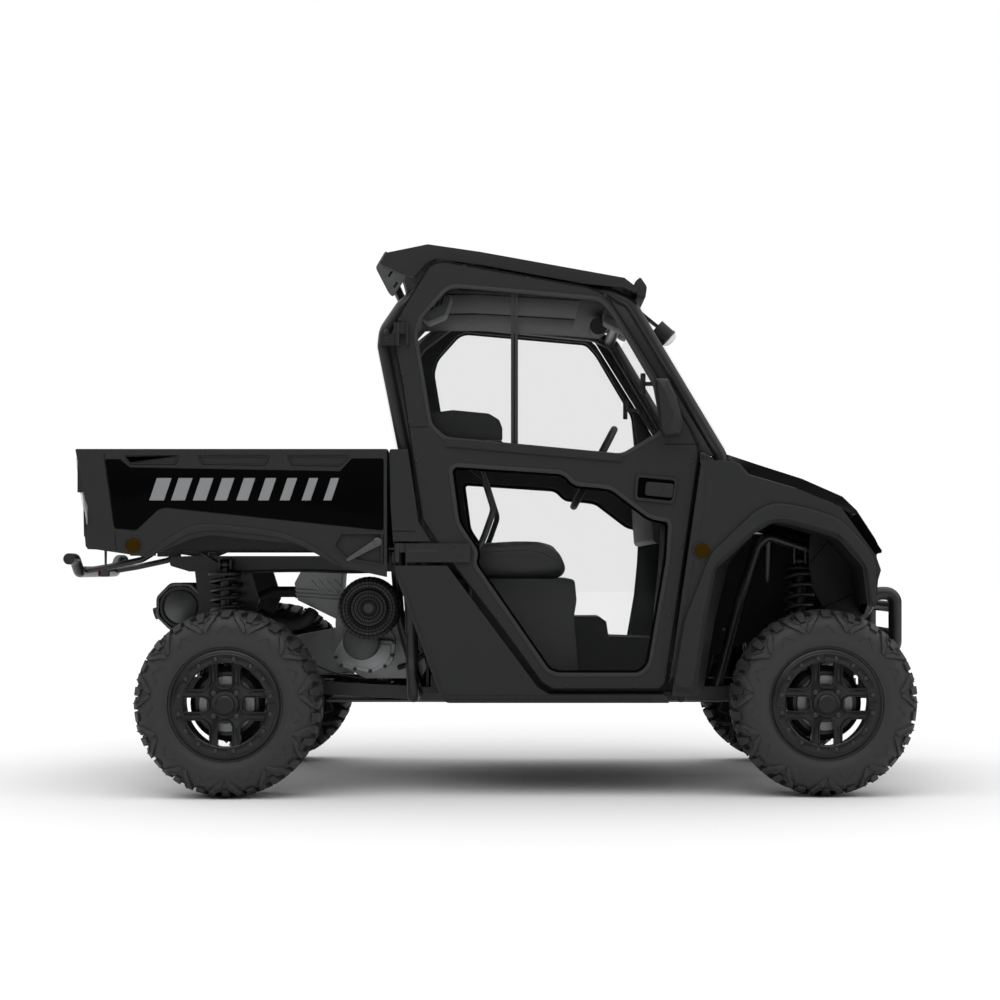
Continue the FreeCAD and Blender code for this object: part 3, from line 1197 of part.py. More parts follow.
def lower_bracket(levels):
    low, middle, high = levels
    arm = box(HINGE_X - 15, HINGE_X + 4, HINGE_Y, -HINGE_SEAT_Y - FIT, low, middle)
    barrel = rod((HINGE_X, HINGE_Y, low), (HINGE_X, HINGE_Y, middle), BARREL)
    pin = rod((HINGE_X, HINGE_Y, low), (HINGE_X, HINGE_Y, high), HINGE_PIN)
    return joined([arm, barrel, pin])


brackets = joined([hinge_bracket(UPPER_HINGE)]), joined([lower_bracket(LOWER_HINGE)])
add_shape("hinge_brackets", Part.makeCompound(list(brackets) + [mirrored(b) for b in brackets]))


# Doors

upper_window = [(-197, 1271, 20), (-248, 1580, 30), (-231, 1638, 20), (-145, 1734, 30), (-111, 1747, 10),
                (385, 1703, 30), (426, 1658, 10), (573, 1408, 20), (601, 1247, 20), (460, 1165, 10),
                (-145, 1222, 10)]
lower_window = [(-128, 1117, 10), (-111, 1135, 10), (248, 1111, 10), (272, 1100, 10), (299, 1070, 10),
                (385, 1063), (426, 1056), (556, 957, 10), (618, 946, 10), (625, 929, 10), (618, 809, 30),
                (556, 450, 20), (522, 416, 20), (239, 416, 20), (205, 428, 20), (-48, 795, 20), (-38, 835, 20),
                (-104, 935, 30)]


def door_shell_shape():
    """Right door: outer skin and rim with two windows, and its hinge straps."""
    outline = inset([(p[0], p[1]) for p in seam], -GAP)
    outline.translate(V(0, -DOOR_Y, 0))
    slab_solid = outline.extrude(V(0, size("door_thickness"), 0))
    hollow = inset([(p[0], p[1]) for p in seam], -GAP - 24)
    hollow.translate(V(0, -DOOR_Y + 12, 0))
    shell = slab_solid.cut(hollow.extrude(V(0, size("door_thickness") - 22, 0)))
    openings = [side_prism(w, -DOOR_Y - 20, -DOOR_INNER_Y + 20) for w in (upper_window, lower_window)]
    rims = []
    for window in (upper_window, lower_window):
        outer = inset(window, 16)
        inner = inset(window, -0.5)
        ring_face = outer.cut(inner)
        ring_face.translate(V(0, -DOOR_Y + 4, 0))
        rims.append(ring_face.extrude(V(0, size("door_thickness") - 6, 0)))
    shell = shell.cut(openings)
    shell = shell.fuse([rim.common(slab_solid) for rim in rims])
    rail = side_prism([(-144, 1222), (459, 1167), (459, 1145), (-144, 1198)], -DOOR_Y - 7, -DOOR_Y + 6)
    return joined([shell, rail])


def strap(levels, length):
    """Moving half of a door hinge: a strap along the door and the barrel on its end."""
    low, middle, high = levels
    x = HINGE_X
    bar = box(x, x + length, -DOOR_Y - 12, -DOOR_Y, middle + 1, high)
    near = box(x, x + 26, HINGE_Y - 4, -DOOR_Y, middle + 1, high)
    barrel = rod((x, HINGE_Y, middle + 0.5), (x, HINGE_Y, high), BARREL)
    tail = box(x + 30, x + length, -DOOR_Y - 12, -DOOR_Y, low, high)
    bore = rod((x, HINGE_Y, low - 5), (x, HINGE_Y, high + 5), HINGE_PIN + RUN)
    rounded = joined([bar, near, tail])
    return rounded.fuse(barrel).cut(bore).removeSplitter()


door_shell = door_shell_shape()
window_glass = []
for window in (upper_window, lower_window):
    pane = inset(window, -0.8)
    pane.translate(V(0, -DOOR_Y + 14, 0))
    window_glass.append(pane.extrude(V(0, GLASS, 0)))
straps = [strap(UPPER_HINGE, 40), strap(LOWER_HINGE, 250)]
latch = side_prism([(507, 1103, 8), (651, 1089, 8), (637, 1000, 8), (500, 1014, 8)], -DOOR_Y - 8, -DOOR_Y)
paddle = side_prism([(521, 1079, 6), (637, 1069, 6), (630, 1021, 6), (521, 1031, 6)], -DOOR_Y - 14, -DOOR_Y - 6)
mirror_head = side_prism([(568, 1425, 14), (612, 1425, 14), (642, 1367, 14), (663, 1283, 14), (653, 1232, 14),
                          (602, 1222, 14), (585, 1249)], -802, -742)
mirror_arm = rod((640, -DOOR_Y - 5, 1262), (628, -748, 1290), 12).cut(box(500, 800, -DOOR_Y, -500, 1000, 1500))
mirror_foot = rod((640, -DOOR_Y, 1262), (640, -DOOR_Y - 8, 1262), 24)
fittings = joined([latch, paddle]), joined([mirror_head, mirror_arm, mirror_foot])
for side, change in (("right", lambda shape: shape), ("left", mirrored)):
    add_shape(f"door_shell_{side}", change(door_shell))
    add_shape(f"door_glass_{side}", Part.makeCompound([change(g) for g in window_glass]))
    add_shape(f"door_straps_{side}", Part.makeCompound([change(g) for g in straps]))
    add_shape(f"door_fittings_{side}", Part.makeCompound([change(g) for g in fittings]))


# Cargo bed

BED_Y = size("bed_y")
BED_WALL = size("bed_wall")
BED_TOP = size("bed_top_z")
BED_FRONT = size("bed_front_x")
BED_REAR = size("bed_rear_x")
BED_FLOOR = size("bed_floor_z")
BED_IN_Y = BED_Y - BED_WALL


def bed_side_shape():
    """Right side of the bed: an outer skin over an inner wall, closed along the top."""
    lower = [(-1400, 1178), (-1392, 1132, 60), (-1368, 1013, 60), (-1344, 952, 20), (-1370, 900, 20),
             (-1366, 850, 12), (-1157, 819, 20), (-1000, 884, 60), (-943, 894, 60), (-671, 867, 60),
             (-603, 847, 60), (-484, 782, 60), (BED_FRONT, 751)]
    outline = lower + [(BED_FRONT, BED_TOP, 10), (BED_REAR, BED_TOP, 16)]
    skin = side_prism(outline, -BED_Y, -BED_Y + 14)
    insert = side_prism(
        [(-1304, 1153, 8), (-1249, 1153), (-1215, 1125), (-501, 1112), (-460, 1156), (-352, 1156, 8),
         (-352, 908, 8), (-1096, 986, 30), (-1120, 979, 20), (-1195, 908, 20), (-1270, 915, 10)],
        -BED_Y - 10, -BED_Y + 5)
    pockets = [
        side_prism([(p[0], p[1], 6) for p in pocket], -BED_Y - 10, -BED_Y + 8)
        for pocket in (
            [(-1239, 1166), (-1045, 1166), (-1059, 1133), (-1215, 1133)],
            [(-991, 1166), (-736, 1166), (-753, 1130), (-970, 1133)],
            [(-685, 1166), (-460, 1166), (-501, 1127), (-664, 1130)],
        )
    ]
    lever_room = side_prism([(-501, 900, 10), (-352, 900, 10), (-352, 790, 10), (-484, 812, 10), (-525, 857, 10)],
                            -BED_Y - 10, -BED_Y + 9)
    skin = skin.cut([insert, lever_room] + pockets)
    cap = box(BED_REAR + 12, BED_FRONT, -BED_Y + 2, -BED_IN_Y, BED_TOP - 22, BED_TOP)
    inner = box(BED_REAR + 40, BED_FRONT, -BED_IN_Y - 12, -BED_IN_Y, BED_FLOOR - 30, BED_TOP - 10)
    rear_post = box(-1396, BED_REAR + 70, -BED_Y + 8, -BED_IN_Y, 1040, BED_TOP - 4)
    rear_low = box(-1362, -1300, -BED_Y + 8, -BED_IN_Y, BED_FLOOR - 30, 1100)
    front_end = box(BED_FRONT - 16, BED_FRONT, -BED_Y + 8, -BED_IN_Y, 800, BED_TOP - 4)
    return joined([skin, cap, inner, rear_post, rear_low, front_end])


bed_side = bed_side_shape()
add_shape("bed_side_right", bed_side)
add_shape("bed_side_left", mirrored(bed_side))


def bed_tub_shape():
    """Ribbed floor, front wall and hinge tabs of the bed."""
    in_y = BED_IN_Y - FIT
    floor = box(-1340, BED_FRONT, -in_y, in_y, BED_UNDER_Z + 10, BED_FLOOR)
    grooves = [box(-1345, BED_FRONT - 60, y - 9, y + 9, BED_FLOOR - 6, BED_FLOOR + 5) for y in range(-560, 561, 80)]
    floor = floor.cut(grooves)
    front = box(BED_FRONT - 26, BED_FRONT, -in_y, in_y, BED_FLOOR - 5, BED_TOP - 4)
    recess = [box(BED_FRONT - 8, BED_FRONT + 5, y - 110, y + 110, 920, 1130) for y in (-420, -140, 140, 420)]
    front = front.cut(recess)
    beams = [box(-1330, -380, s * RAIL_Y - 20, s * RAIL_Y + 20, BED_UNDER_Z, BED_UNDER_Z + 14) for s in (-1, 1)]
    tabs = []
    pivot_x, pivot_z = size("bed_pivot_x"), size("bed_pivot_z")
    for s in (-1, 1):
        y = s * RAIL_Y
        tab = side_prism([(pivot_x - 14, pivot_z - 14, 10), (pivot_x + 14, pivot_z - 14, 10),
                          (pivot_x + 20, BED_UNDER_Z + 4), (pivot_x - 20, BED_UNDER_Z + 4)], y - 6, y + 6)
        bore = rod((pivot_x, y - 20, pivot_z), (pivot_x, y + 20, pivot_z), size("pivot_pin_radius") + RUN)
        tabs.append(tab.cut(bore))
    gate_z = size("tailgate_pivot_z")
    gate_tabs = []
    for s in (-1, 1):
        y = s * 500
        ear = side_prism([(GATE_X - 10, gate_z - 12, 8), (GATE_X - 10, gate_z + 10, 8), (GATE_X + 12, gate_z + 10, 8),
                          (-1330, gate_z - 4), (-1330, gate_z - 20)], y - 8, y + 8)
        pin = rod((GATE_X, y - 30, gate_z), (GATE_X, y + 30, gate_z), 6)
        gate_tabs += [ear, pin]
    return joined([floor, front] + beams + gate_tabs + tabs)


GATE_X = -1386
add_shape("bed_tub", bed_tub_shape())


def tailgate_shape():
    """Ribbed gate with its hinge ears and handle hollow."""
    gate_z = size("tailgate_pivot_z")
    half = BED_IN_Y - 8
    inner_x = BED_REAR + size("tailgate_thickness")
    outline = [(BED_REAR, BED_TOP - 6, 8), (inner_x, BED_TOP - 6, 8), (inner_x, gate_z + 16),
               (BED_REAR + 6, gate_z + 16, 8)]
    plate = side_prism(outline, -half, half)
    room = [box(-1420, -1390, y - 120, y + 120, 920, 1130) for y in (-460, -170, 170, 460)]
    plate = plate.cut(room)
    handle = box(-1420, -1384, -46, 46, 1104, 1150)
    plate = plate.cut(handle)
    ears = []
    for s in (-1, 1):
        for d in (-22, 22):
            y = s * 500 + d
            ear = joined([rod((GATE_X, y - 6, gate_z), (GATE_X, y + 6, gate_z), 11),
                          box(GATE_X - 9, GATE_X + 9, y - 6, y + 6, gate_z, gate_z + 22)])
            ears.append(ear)
    bores = [rod((GATE_X, s * 500 - 40, gate_z), (GATE_X, s * 500 + 40, gate_z), 6 + RUN) for s in (-1, 1)]
    return joined([plate] + ears).cut(bores)


add_shape("tailgate", tailgate_shape())

tail_lamp = side_prism([(-1404, 1100, 8), (-1386, 1104), (-1352, 960), (-1374, 930), (-1382, 1000, 20)],
                       -BED_Y + 12, -BED_IN_Y - 14)
rear_marker = rod((-1205, -BED_Y - FIT, 860), (-1205, -BED_Y - 9, 860), 27)
tail_pieces = [tail_lamp.cut(bed_side), rear_marker]
add_shape("tail_lamps", Part.makeCompound(tail_pieces + [mirrored(piece) for piece in tail_pieces]))


def rear_bar_shape():
    """Bar behind the bed, lowered in its middle, with the two arms that carry it."""
    r = size("bar_radius") - 3
    x = -HALF_LENGTH + r
    bar = bent_tube([(x, -500, 814), (x, -400, 814), (x, -330, 768), (x, 330, 768), (x, 400, 814), (x, 500, 814)],
                    r, 50)
    arms = []
    for s in (-1, 1):
        y = s * 280
        arms.append(bent_tube([(x, y, 770), (-1380, y, 786), (-1260, y, 812), (-1225, y, BED_UNDER_Z - 9)], 11, 60))
        arms.append(box(-1300, -1212, y - 16, y + 16, BED_UNDER_Z - 16, BED_UNDER_Z + 10 - FIT))
    return joined([bar] + arms)


add_shape("rear_bar", rear_bar_shape())

lever_y = -BED_Y + 9 - FIT
lever_bar = side_prism([(-492, 884, 5), (-470, 884, 5), (-372, 808, 5), (-392, 808, 5)], lever_y - 9, lever_y)
lever_pivot = rod((-470, lever_y - 12, 868), (-470, lever_y, 868), 13)
add_shape("bed_levers", both_sides(joined([lever_bar, lever_pivot])))


# Steering

def add_steering_wheel():
    """Steering wheel with three spokes on its column, each piece drawn flat and then tilted."""
    tilt = FreeCAD.Placement(WHEEL_CENTRE, FreeCAD.Rotation(V(0, 1, 0), V(0, 0, 0), -COLUMN, "ZYX"))
    straight = FreeCAD.Rotation()
    pieces = [
        bound("Torus", "steering_rim", tilt, Radius1="Sizes.steering_wheel_radius", Radius2="Sizes.steering_rim_radius"),
        bound("Cylinder", "steering_hub", tilt * FreeCAD.Placement(V(0, 0, -30), straight),
              Radius="Sizes.steering_hub_radius", Height="26"),
        bound("Cylinder", "steering_column",
              tilt * FreeCAD.Placement(V(0, 0, -size("column_length")), straight),
              Radius="Sizes.column_radius", Height="Sizes.column_length - 10"),
    ]
    for angle in (20, 160, 270):
        turn = FreeCAD.Placement(V(), FreeCAD.Rotation(V(0, 0, 1), angle))
        place = tilt * turn * FreeCAD.Placement(V(20, -14, -14), straight)
        pieces.append(bound("Box", "steering_spoke", place, Length="Sizes.steering_wheel_radius - 20",
                            Width="28", Height="10"))
    return fused("steering_wheel", pieces)


add_steering_wheel()


def add_steering_rack():
    """Sliding rod with an end under each steering arm."""
    x, z = FRONT_X - STEER_ARM, ROD_Z - RACK_DROP
    half = size("rack_half_length")
    across = FreeCAD.Placement(V(x, half, z), FreeCAD.Rotation(V(1, 0, 0), 90))
    pieces = [bound("Cylinder", "rack_bar", across, Radius="Sizes.rack_radius", Height="2 * Sizes.rack_half_length")]
    for s in (-1, 1):
        upright = FreeCAD.Placement(V(x, s * (half + 14), z - RACK_RADIUS - 1), FreeCAD.Rotation())
        pieces.append(bound("Cylinder", "rack_end", upright, Radius="Sizes.rack_radius + 6",
                            Height="2 * Sizes.rack_radius + 2"))
    return fused("steering_rack", pieces)


add_steering_rack()


def check_and_export():
    """Stops at a failed object or shape, then writes one STEP file for each sub-part."""
    doc.recompute()
    for item in doc.Objects:
        if "Invalid" in item.State or "Error" in item.State:
            raise RuntimeError(f"{item.Label} failed: {item.State}")
    bad = [part.Label for part in sub_parts
           if part.Shape.isNull() or not part.Shape.isValid() or part.Shape.Volume <= 0]
    if bad:
        raise RuntimeError(f"not valid solids: {bad}")
    os.makedirs("parts", exist_ok=True)
    for part in sub_parts:
        part.Shape.exportStep(os.path.join("parts", part.Label + ".step"))


check_and_export()
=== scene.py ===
"""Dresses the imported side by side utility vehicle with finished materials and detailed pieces."""

import math

import bmesh
import bpy
from mathutils import Matrix, Vector


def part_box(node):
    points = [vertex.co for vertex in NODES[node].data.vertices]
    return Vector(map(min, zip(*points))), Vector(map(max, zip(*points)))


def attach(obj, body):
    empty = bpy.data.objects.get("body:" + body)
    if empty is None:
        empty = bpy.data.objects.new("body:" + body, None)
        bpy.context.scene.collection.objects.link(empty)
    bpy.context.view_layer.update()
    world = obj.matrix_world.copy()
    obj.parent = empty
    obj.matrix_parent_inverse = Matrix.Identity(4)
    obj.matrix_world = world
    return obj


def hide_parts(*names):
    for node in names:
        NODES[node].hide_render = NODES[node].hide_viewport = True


bl_info = {
    "name": "Side by side utility vehicle",
    "version": (1, 0, 0),
    "blender": (4, 5, 0),
    "location": "3D View > Sidebar > Utility vehicle",
    "description": "Builds the detailed pieces and finishes of a two seat utility vehicle around its frame",
    "category": "Object",
}

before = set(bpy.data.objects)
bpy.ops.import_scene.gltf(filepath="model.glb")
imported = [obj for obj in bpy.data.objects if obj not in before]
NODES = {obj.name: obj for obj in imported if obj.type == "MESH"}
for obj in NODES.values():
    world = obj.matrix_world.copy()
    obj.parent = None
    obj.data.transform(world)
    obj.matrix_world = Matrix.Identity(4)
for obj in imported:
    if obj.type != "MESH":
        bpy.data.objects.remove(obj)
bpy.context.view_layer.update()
SIDES = (("right", -1), ("left", 1))
WHEELS = (("front_right", -1), ("front_left", 1), ("rear_right", -1), ("rear_left", 1))


# Settings that a user may change

class UTVPaintSettings(bpy.types.PropertyGroup):
    """Colours and grain of the finishes."""

    plastic: bpy.props.FloatVectorProperty(
        name="Plastic", description="Grained body plastic", subtype="COLOR", size=3, min=0, max=1,
        default=(0.0128, 0.0131, 0.0135),
    )
    gloss: bpy.props.FloatVectorProperty(
        name="Gloss", description="Glossy insert panels", subtype="COLOR", size=3, min=0, max=1,
        default=(0.002, 0.002, 0.002),
    )
    coat: bpy.props.FloatVectorProperty(
        name="Frame coat", description="Satin coat on the steel frame", subtype="COLOR", size=3, min=0, max=1,
        default=(0.010, 0.0103, 0.0107),
    )
    rubber: bpy.props.FloatVectorProperty(
        name="Rubber", description="Tyres and seals", subtype="COLOR", size=3, min=0, max=1,
        default=(0.0175, 0.0175, 0.018),
    )
    alloy: bpy.props.FloatVectorProperty(
        name="Wheel alloy", description="Dark coat on the wheels", subtype="COLOR", size=3, min=0, max=1,
        default=(0.014, 0.0143, 0.015),
    )
    casting: bpy.props.FloatVectorProperty(
        name="Casting", description="Bare cast aluminium", subtype="COLOR", size=3, min=0, max=1,
        default=(0.28, 0.285, 0.29),
    )


class UTVStageSettings(bpy.types.PropertyGroup):
    """Floor, light and camera."""

    camera_distance: bpy.props.FloatProperty(name="Camera distance",
                                             description="From the centre plane to the camera",
                                             unit="LENGTH", default=7.753, min=1)
    camera_height: bpy.props.FloatProperty(
        name="Camera height", description="Above the floor", unit="LENGTH", default=0.783, min=0.01
    )
    lens: bpy.props.FloatProperty(name="Lens", description="Focal length in millimetres", default=74.18,
                                  min=10)
    world_light: bpy.props.FloatProperty(name="World light", description="Strength of the light overhead",
                                         default=1.42)
    key_light: bpy.props.FloatProperty(name="Key light", description="Strength of the lamp above",
                                       default=85.0)


# Shader groups and materials

def group_tree(name, inputs, outputs):
    """A shader node group with float or colour sockets, and its end nodes."""
    tree = bpy.data.node_groups.new(name, "ShaderNodeTree")
    for label, kind, default in inputs:
        socket = tree.interface.new_socket(name=label, in_out="INPUT", socket_type=kind)
        socket.default_value = default
    for label, kind in outputs:
        tree.interface.new_socket(name=label, in_out="OUTPUT", socket_type=kind)
    return tree, tree.nodes.new("NodeGroupInput"), tree.nodes.new("NodeGroupOutput")


def add_node(tree, kind, settings=None, **values):
    """A node with attributes set from settings and input sockets set from values."""
    node = tree.nodes.new(kind)
    for key, value in (settings or {}).items():
        setattr(node, key, value)
    for key, value in values.items():
        numbered = key[0] == "i" and key[1:].isdigit()
        socket = node.inputs[int(key[1:]) if numbered else key.replace("_", " ")]
        if isinstance(value, bpy.types.NodeSocket):
            tree.links.new(value, socket)
        else:
            socket.default_value = value
    return node


def math_node(tree, operation, a, b, clamp=False):
    """The result socket of one sum on numbers."""
    settings = {"operation": operation, "use_clamp": clamp}
    return add_node(tree, "ShaderNodeMath", settings, i0=a, i1=b).outputs[0]


def noise(tree, vector, scale, detail, roughness=0.5):
    """The strength socket of a noise texture."""
    return add_node(
        tree, "ShaderNodeTexNoise", Vector=vector, Scale=scale, Detail=detail, Roughness=roughness
    ).outputs["Fac"]


def spread(tree, value, low, high, out_low=0.0, out_high=1.0):
    """A value stretched from one range to another."""
    return add_node(
        tree, "ShaderNodeMapRange", {"clamp": True}, i0=value, i1=low, i2=high, i3=out_low, i4=out_high
    ).outputs[0]


def build_surface_group():
    """Grain, soft blotches and settled dust, shared by most finishes."""
    tree, start, end = group_tree(
        "surface_grain",
        (
            ("Colour", "NodeSocketColor", (0.03, 0.03, 0.03, 1)),
            ("Grain scale", "NodeSocketFloat", 900.0),
            ("Blotch", "NodeSocketFloat", 0.15),
            ("Roughness", "NodeSocketFloat", 0.5),
            ("Dust", "NodeSocketFloat", 0.05),
        ),
        (("Colour", "NodeSocketColor"), ("Roughness", "NodeSocketFloat"), ("Height", "NodeSocketFloat")),
    )
    where = tree.nodes.new("ShaderNodeTexCoord").outputs["Object"]
    fine = add_node(tree, "ShaderNodeTexVoronoi", {"feature": "SMOOTH_F1"}, Vector=where,
                    Scale=start.outputs["Grain scale"])
    blotch = noise(tree, where, 6.0, 4.0)
    patchy = noise(tree, where, 38.0, 5.0, 0.6)
    swing = math_node(tree, "MULTIPLY", math_node(tree, "SUBTRACT", blotch, 0.5), start.outputs["Blotch"])
    tone = math_node(tree, "ADD", 1.0, math_node(tree, "MULTIPLY", swing, 2.0))
    base = add_node(
        tree, "ShaderNodeMix", {"data_type": "RGBA", "blend_type": "MULTIPLY"},
        i0=1.0, i6=start.outputs["Colour"], i7=(1, 1, 1, 1),
    )
    tree.links.new(tone, base.inputs[7])
    up = add_node(tree, "ShaderNodeSeparateXYZ",
                  i0=tree.nodes.new("ShaderNodeNewGeometry").outputs["Normal"]).outputs[2]
    level = spread(tree, up, 0.45, 1.0)
    dusty = math_node(tree, "MULTIPLY", math_node(tree, "MULTIPLY", level, patchy), start.outputs["Dust"])
    colour = add_node(
        tree, "ShaderNodeMix", {"data_type": "RGBA"}, i0=dusty, i6=base.outputs[2], i7=(0.33, 0.31, 0.28, 1)
    )
    rough = math_node(tree, "ADD", start.outputs["Roughness"], math_node(tree, "MULTIPLY", swing, 0.6))
    rough = math_node(tree, "ADD", rough, math_node(tree, "MULTIPLY", dusty, 0.6), clamp=True)
    tree.links.new(colour.outputs[2], end.inputs["Colour"])
    tree.links.new(rough, end.inputs["Roughness"])
    tree.links.new(fine.outputs["Distance"], end.inputs["Height"])
    return tree


def finish_material(name, colour, rough, grain, depth, blotch, dust, sockets):
    """A principled material on the shared surface group, with further sockets set by name."""
    made = bpy.data.materials.new(name)
    made.use_nodes = True
    tree = made.node_tree
    shader = tree.nodes["Principled BSDF"]
    grain_group = bpy.data.node_groups.get("surface_grain") or build_surface_group()
    surface = add_node(
        tree, "ShaderNodeGroup", {"node_tree": grain_group},
        Colour=(*colour, 1), Grain_scale=grain, Blotch=blotch, Roughness=rough, Dust=dust,
    )
    bump = add_node(tree, "ShaderNodeBump", Strength=depth, Distance=0.002, Height=surface.outputs["Height"])
    tree.links.new(surface.outputs["Colour"], shader.inputs["Base Color"])
    tree.links.new(surface.outputs["Roughness"], shader.inputs["Roughness"])
    tree.links.new(bump.outputs[0], shader.inputs["Normal"])
    for socket, value in sockets.items():
        shader.inputs[socket].default_value = value
    return made


# Material, colour or the setting that holds it, roughness, grain scale, bump, blotches, dust, further sockets
SHINE = "Specular IOR Level"
FINISHES = {"plastic": ("grained_plastic", "plastic", 0.5, 1100, 0.35, 0.12, 0.02, {SHINE: 0.3}),
            "gloss": ("gloss_panel", "gloss", 0.12, 600, 0, 0.05, 0, {SHINE: 0.012}),
            "coat": ("frame_coat", "coat", 0.34, 700, 0.06, 0.2, 0.05, {}),
            "rubber": ("tyre_rubber", "rubber", 0.62, 500, 0.25, 0.35, 0.1, {}),
            "alloy": ("wheel_alloy", "alloy", 0.32, 900, 0.03, 0.15, 0.03, {"Metallic": 0.5}),
            "casting": ("cast_metal", "casting", 0.42, 420, 0.3, 0.3, 0.05, {"Metallic": 0.8}),
            "plate": ("plate_metal", (0.09, 0.092, 0.095), 0.4, 500, 0.05, 0.2, 0.1, {"Metallic": 0.7}),
            "steel": ("steel_dark", (0.03, 0.031, 0.033), 0.36, 600, 0.06, 0.25, 0.05, {"Metallic": 0.4}),
            "vinyl": ("cushion_vinyl", (0.016, 0.016, 0.017), 0.5, 520, 0.3, 0.1, 0.03, {}),
            "grip": ("grip_rubber", (0.014, 0.014, 0.015), 0.6, 700, 0.2, 0.1, 0.02, {}),
            "amber": ("amber_lens", (0.030, 0.016, 0.0004), 0.35, 300, 0.05, 0.1, 0, {SHINE: 0.04}),
            "red": ("red_lens", (0.045, 0.002, 0.0015), 0.3, 300, 0.05, 0.1, 0, {SHINE: 0.08}),
            "seal": ("black_seal", (0.0025, 0.0025, 0.0027), 0.6, 700, 0.1, 0.1, 0, {SHINE: 0.15}),
            "liner": ("cab_liner", (0.0065, 0.0066, 0.007), 0.6, 500, 0.15, 0.1, 0, {SHINE: 0.2}),
            "cover": ("drive_cover_plastic", (0.055, 0.056, 0.057), 0.45, 900, 0.2, 0.1, 0.02, {}),
            "window": ("clear_window", (0.02, 0.022, 0.022), 0.05, 400, 0, 0.05, 0,
                       {"Alpha": 0.06, "Coat Weight": 0.5}),
            "lens": ("clear_lens", (0.75, 0.78, 0.8), 0.05, 400, 0, 0.05, 0,
                     {"Alpha": 0.35, "Coat Weight": 0.5}),
            "mirror": ("bright_reflector", (0.75, 0.76, 0.77), 0.08, 300, 0, 0.05, 0, {"Metallic": 1}),
            "visor": ("visor_plate", (0.045, 0.046, 0.047), 0.5, 900, 0.2, 0.1, 0.02, {}),
            "silver": ("silver_print", (0.32, 0.33, 0.34), 0.35, 600, 0, 0.05, 0, {"Metallic": 0.6})}
PAINTS = {}


def paints():
    """The finishes by name, made the first time that they are asked for."""
    if not PAINTS:
        for key, (name, colour, *rest) in FINISHES.items():
            if isinstance(colour, str):
                colour = getattr(bpy.context.scene.utv_paint, colour)
            PAINTS[key] = finish_material(name, colour, *rest)
    return PAINTS


NODE_PAINT = {
    "coat": (
        "chassis_frame", "cab_frame", "front_guard", "rear_bar", "front_arms", "rear_arms", "restraint_bars",
        "hinge_brackets", "door_straps_right", "door_straps_left",
    ),
    "plate": ("skid_plate", "bed_levers", "steering_rack"),
    "vinyl": ("seat_cushions", "seat_backs"),
    "window": ("windshield", "rear_window", "door_glass_right", "door_glass_left"),
    "gloss": ("hood",),
    "steel": ("muffler", "front_shocks", "rear_shocks", "drive_shafts"),
    "casting": ("engine", "rear_knuckles", "front_gearcase", "knuckle_front_right", "knuckle_front_left"),
    "rubber": tuple("tyre_" + wheel for wheel, _ in WHEELS),
    "alloy": tuple("rim_" + wheel for wheel, _ in WHEELS),
    "grip": ("steering_wheel",),
}


def paint(piece, name):
    """Gives a piece one finish."""
    piece.data.materials.clear()
    piece.data.materials.append(paints()[name])
    return piece


class UTV_OT_frame_finish(bpy.types.Operator):
    """Give every node of the frame its finish"""

    bl_idname = "utv.frame_finish"
    bl_label = "Frame finishes"

    def execute(self, context):
        named = {node: name for name, nodes in NODE_PAINT.items() for node in nodes}
        for node, piece in NODES.items():
            paint(piece, named.get(node, "plastic"))
        return {"FINISHED"}


# Mesh and Geometry Nodes helpers

WELD_DISTANCE = 1e-5
SHARPEST_SHADED = 24


def new_piece(mesh, paint_name=None, smooth=None, name="part"):
    """A linked object from a mesh, with a finish and smooth shading below an angle in degrees."""
    piece = bpy.data.objects.new(name, mesh)
    bpy.context.scene.collection.objects.link(piece)
    if paint_name:
        paint(piece, paint_name)
    if smooth is not None:
        mesh.shade_smooth() if smooth >= 180 else shade_by_angle(mesh, smooth)
    return piece


def shade_by_angle(mesh, degrees):
    """Smooth faces with sharp edges where they meet at more than the angle."""
    shape = bmesh.new()
    shape.from_mesh(mesh)
    limit = math.radians(degrees)
    for face in shape.faces:
        face.smooth = True
    for edge in shape.edges:
        edge.smooth = len(edge.link_faces) == 2 and edge.calc_face_angle(0) < limit
    shape.to_mesh(mesh)
    shape.free()


def mesh_from(points, faces):
    """A mesh from points and faces, with its normals made to point outwards."""
    mesh = bpy.data.meshes.new("part")
    mesh.from_pydata(points, [], faces)
    shape = bmesh.new()
    shape.from_mesh(mesh)
    bmesh.ops.recalc_face_normals(shape, faces=shape.faces)
    shape.to_mesh(mesh)
    shape.free()
    return mesh


def settle(piece):
    """Turns what the modifiers make into the piece's plain mesh."""
    bpy.context.view_layer.update()
    graph = bpy.context.evaluated_depsgraph_get()
    made = bpy.data.meshes.new_from_object(piece.evaluated_get(graph))
    piece.modifiers.clear()
    old = piece.data
    piece.data = made
    bpy.data.meshes.remove(old)
    return piece


def joined_piece(name, pieces):
    """One object made of several plain ones, which keep their finishes."""
    materials = []
    shape = bmesh.new()
    for piece in pieces:
        offset = {}
        for index, material in enumerate(piece.data.materials):
            if material not in materials:
                materials.append(material)
            offset[index] = materials.index(material)
        before = len(shape.faces)
        shape.from_mesh(piece.data)
        shape.faces.ensure_lookup_table()
        for face in shape.faces[before:]:
            face.material_index = offset.get(face.material_index, 0)
    mesh = bpy.data.meshes.new(name)
    shape.to_mesh(mesh)
    shape.free()
    for material in materials:
        mesh.materials.append(material)
    for piece in pieces:
        old = piece.data
        bpy.data.objects.remove(piece)
        if old.users == 0:
            bpy.data.meshes.remove(old)
    whole = bpy.data.objects.new(name, mesh)
    bpy.context.scene.collection.objects.link(whole)
    return whole


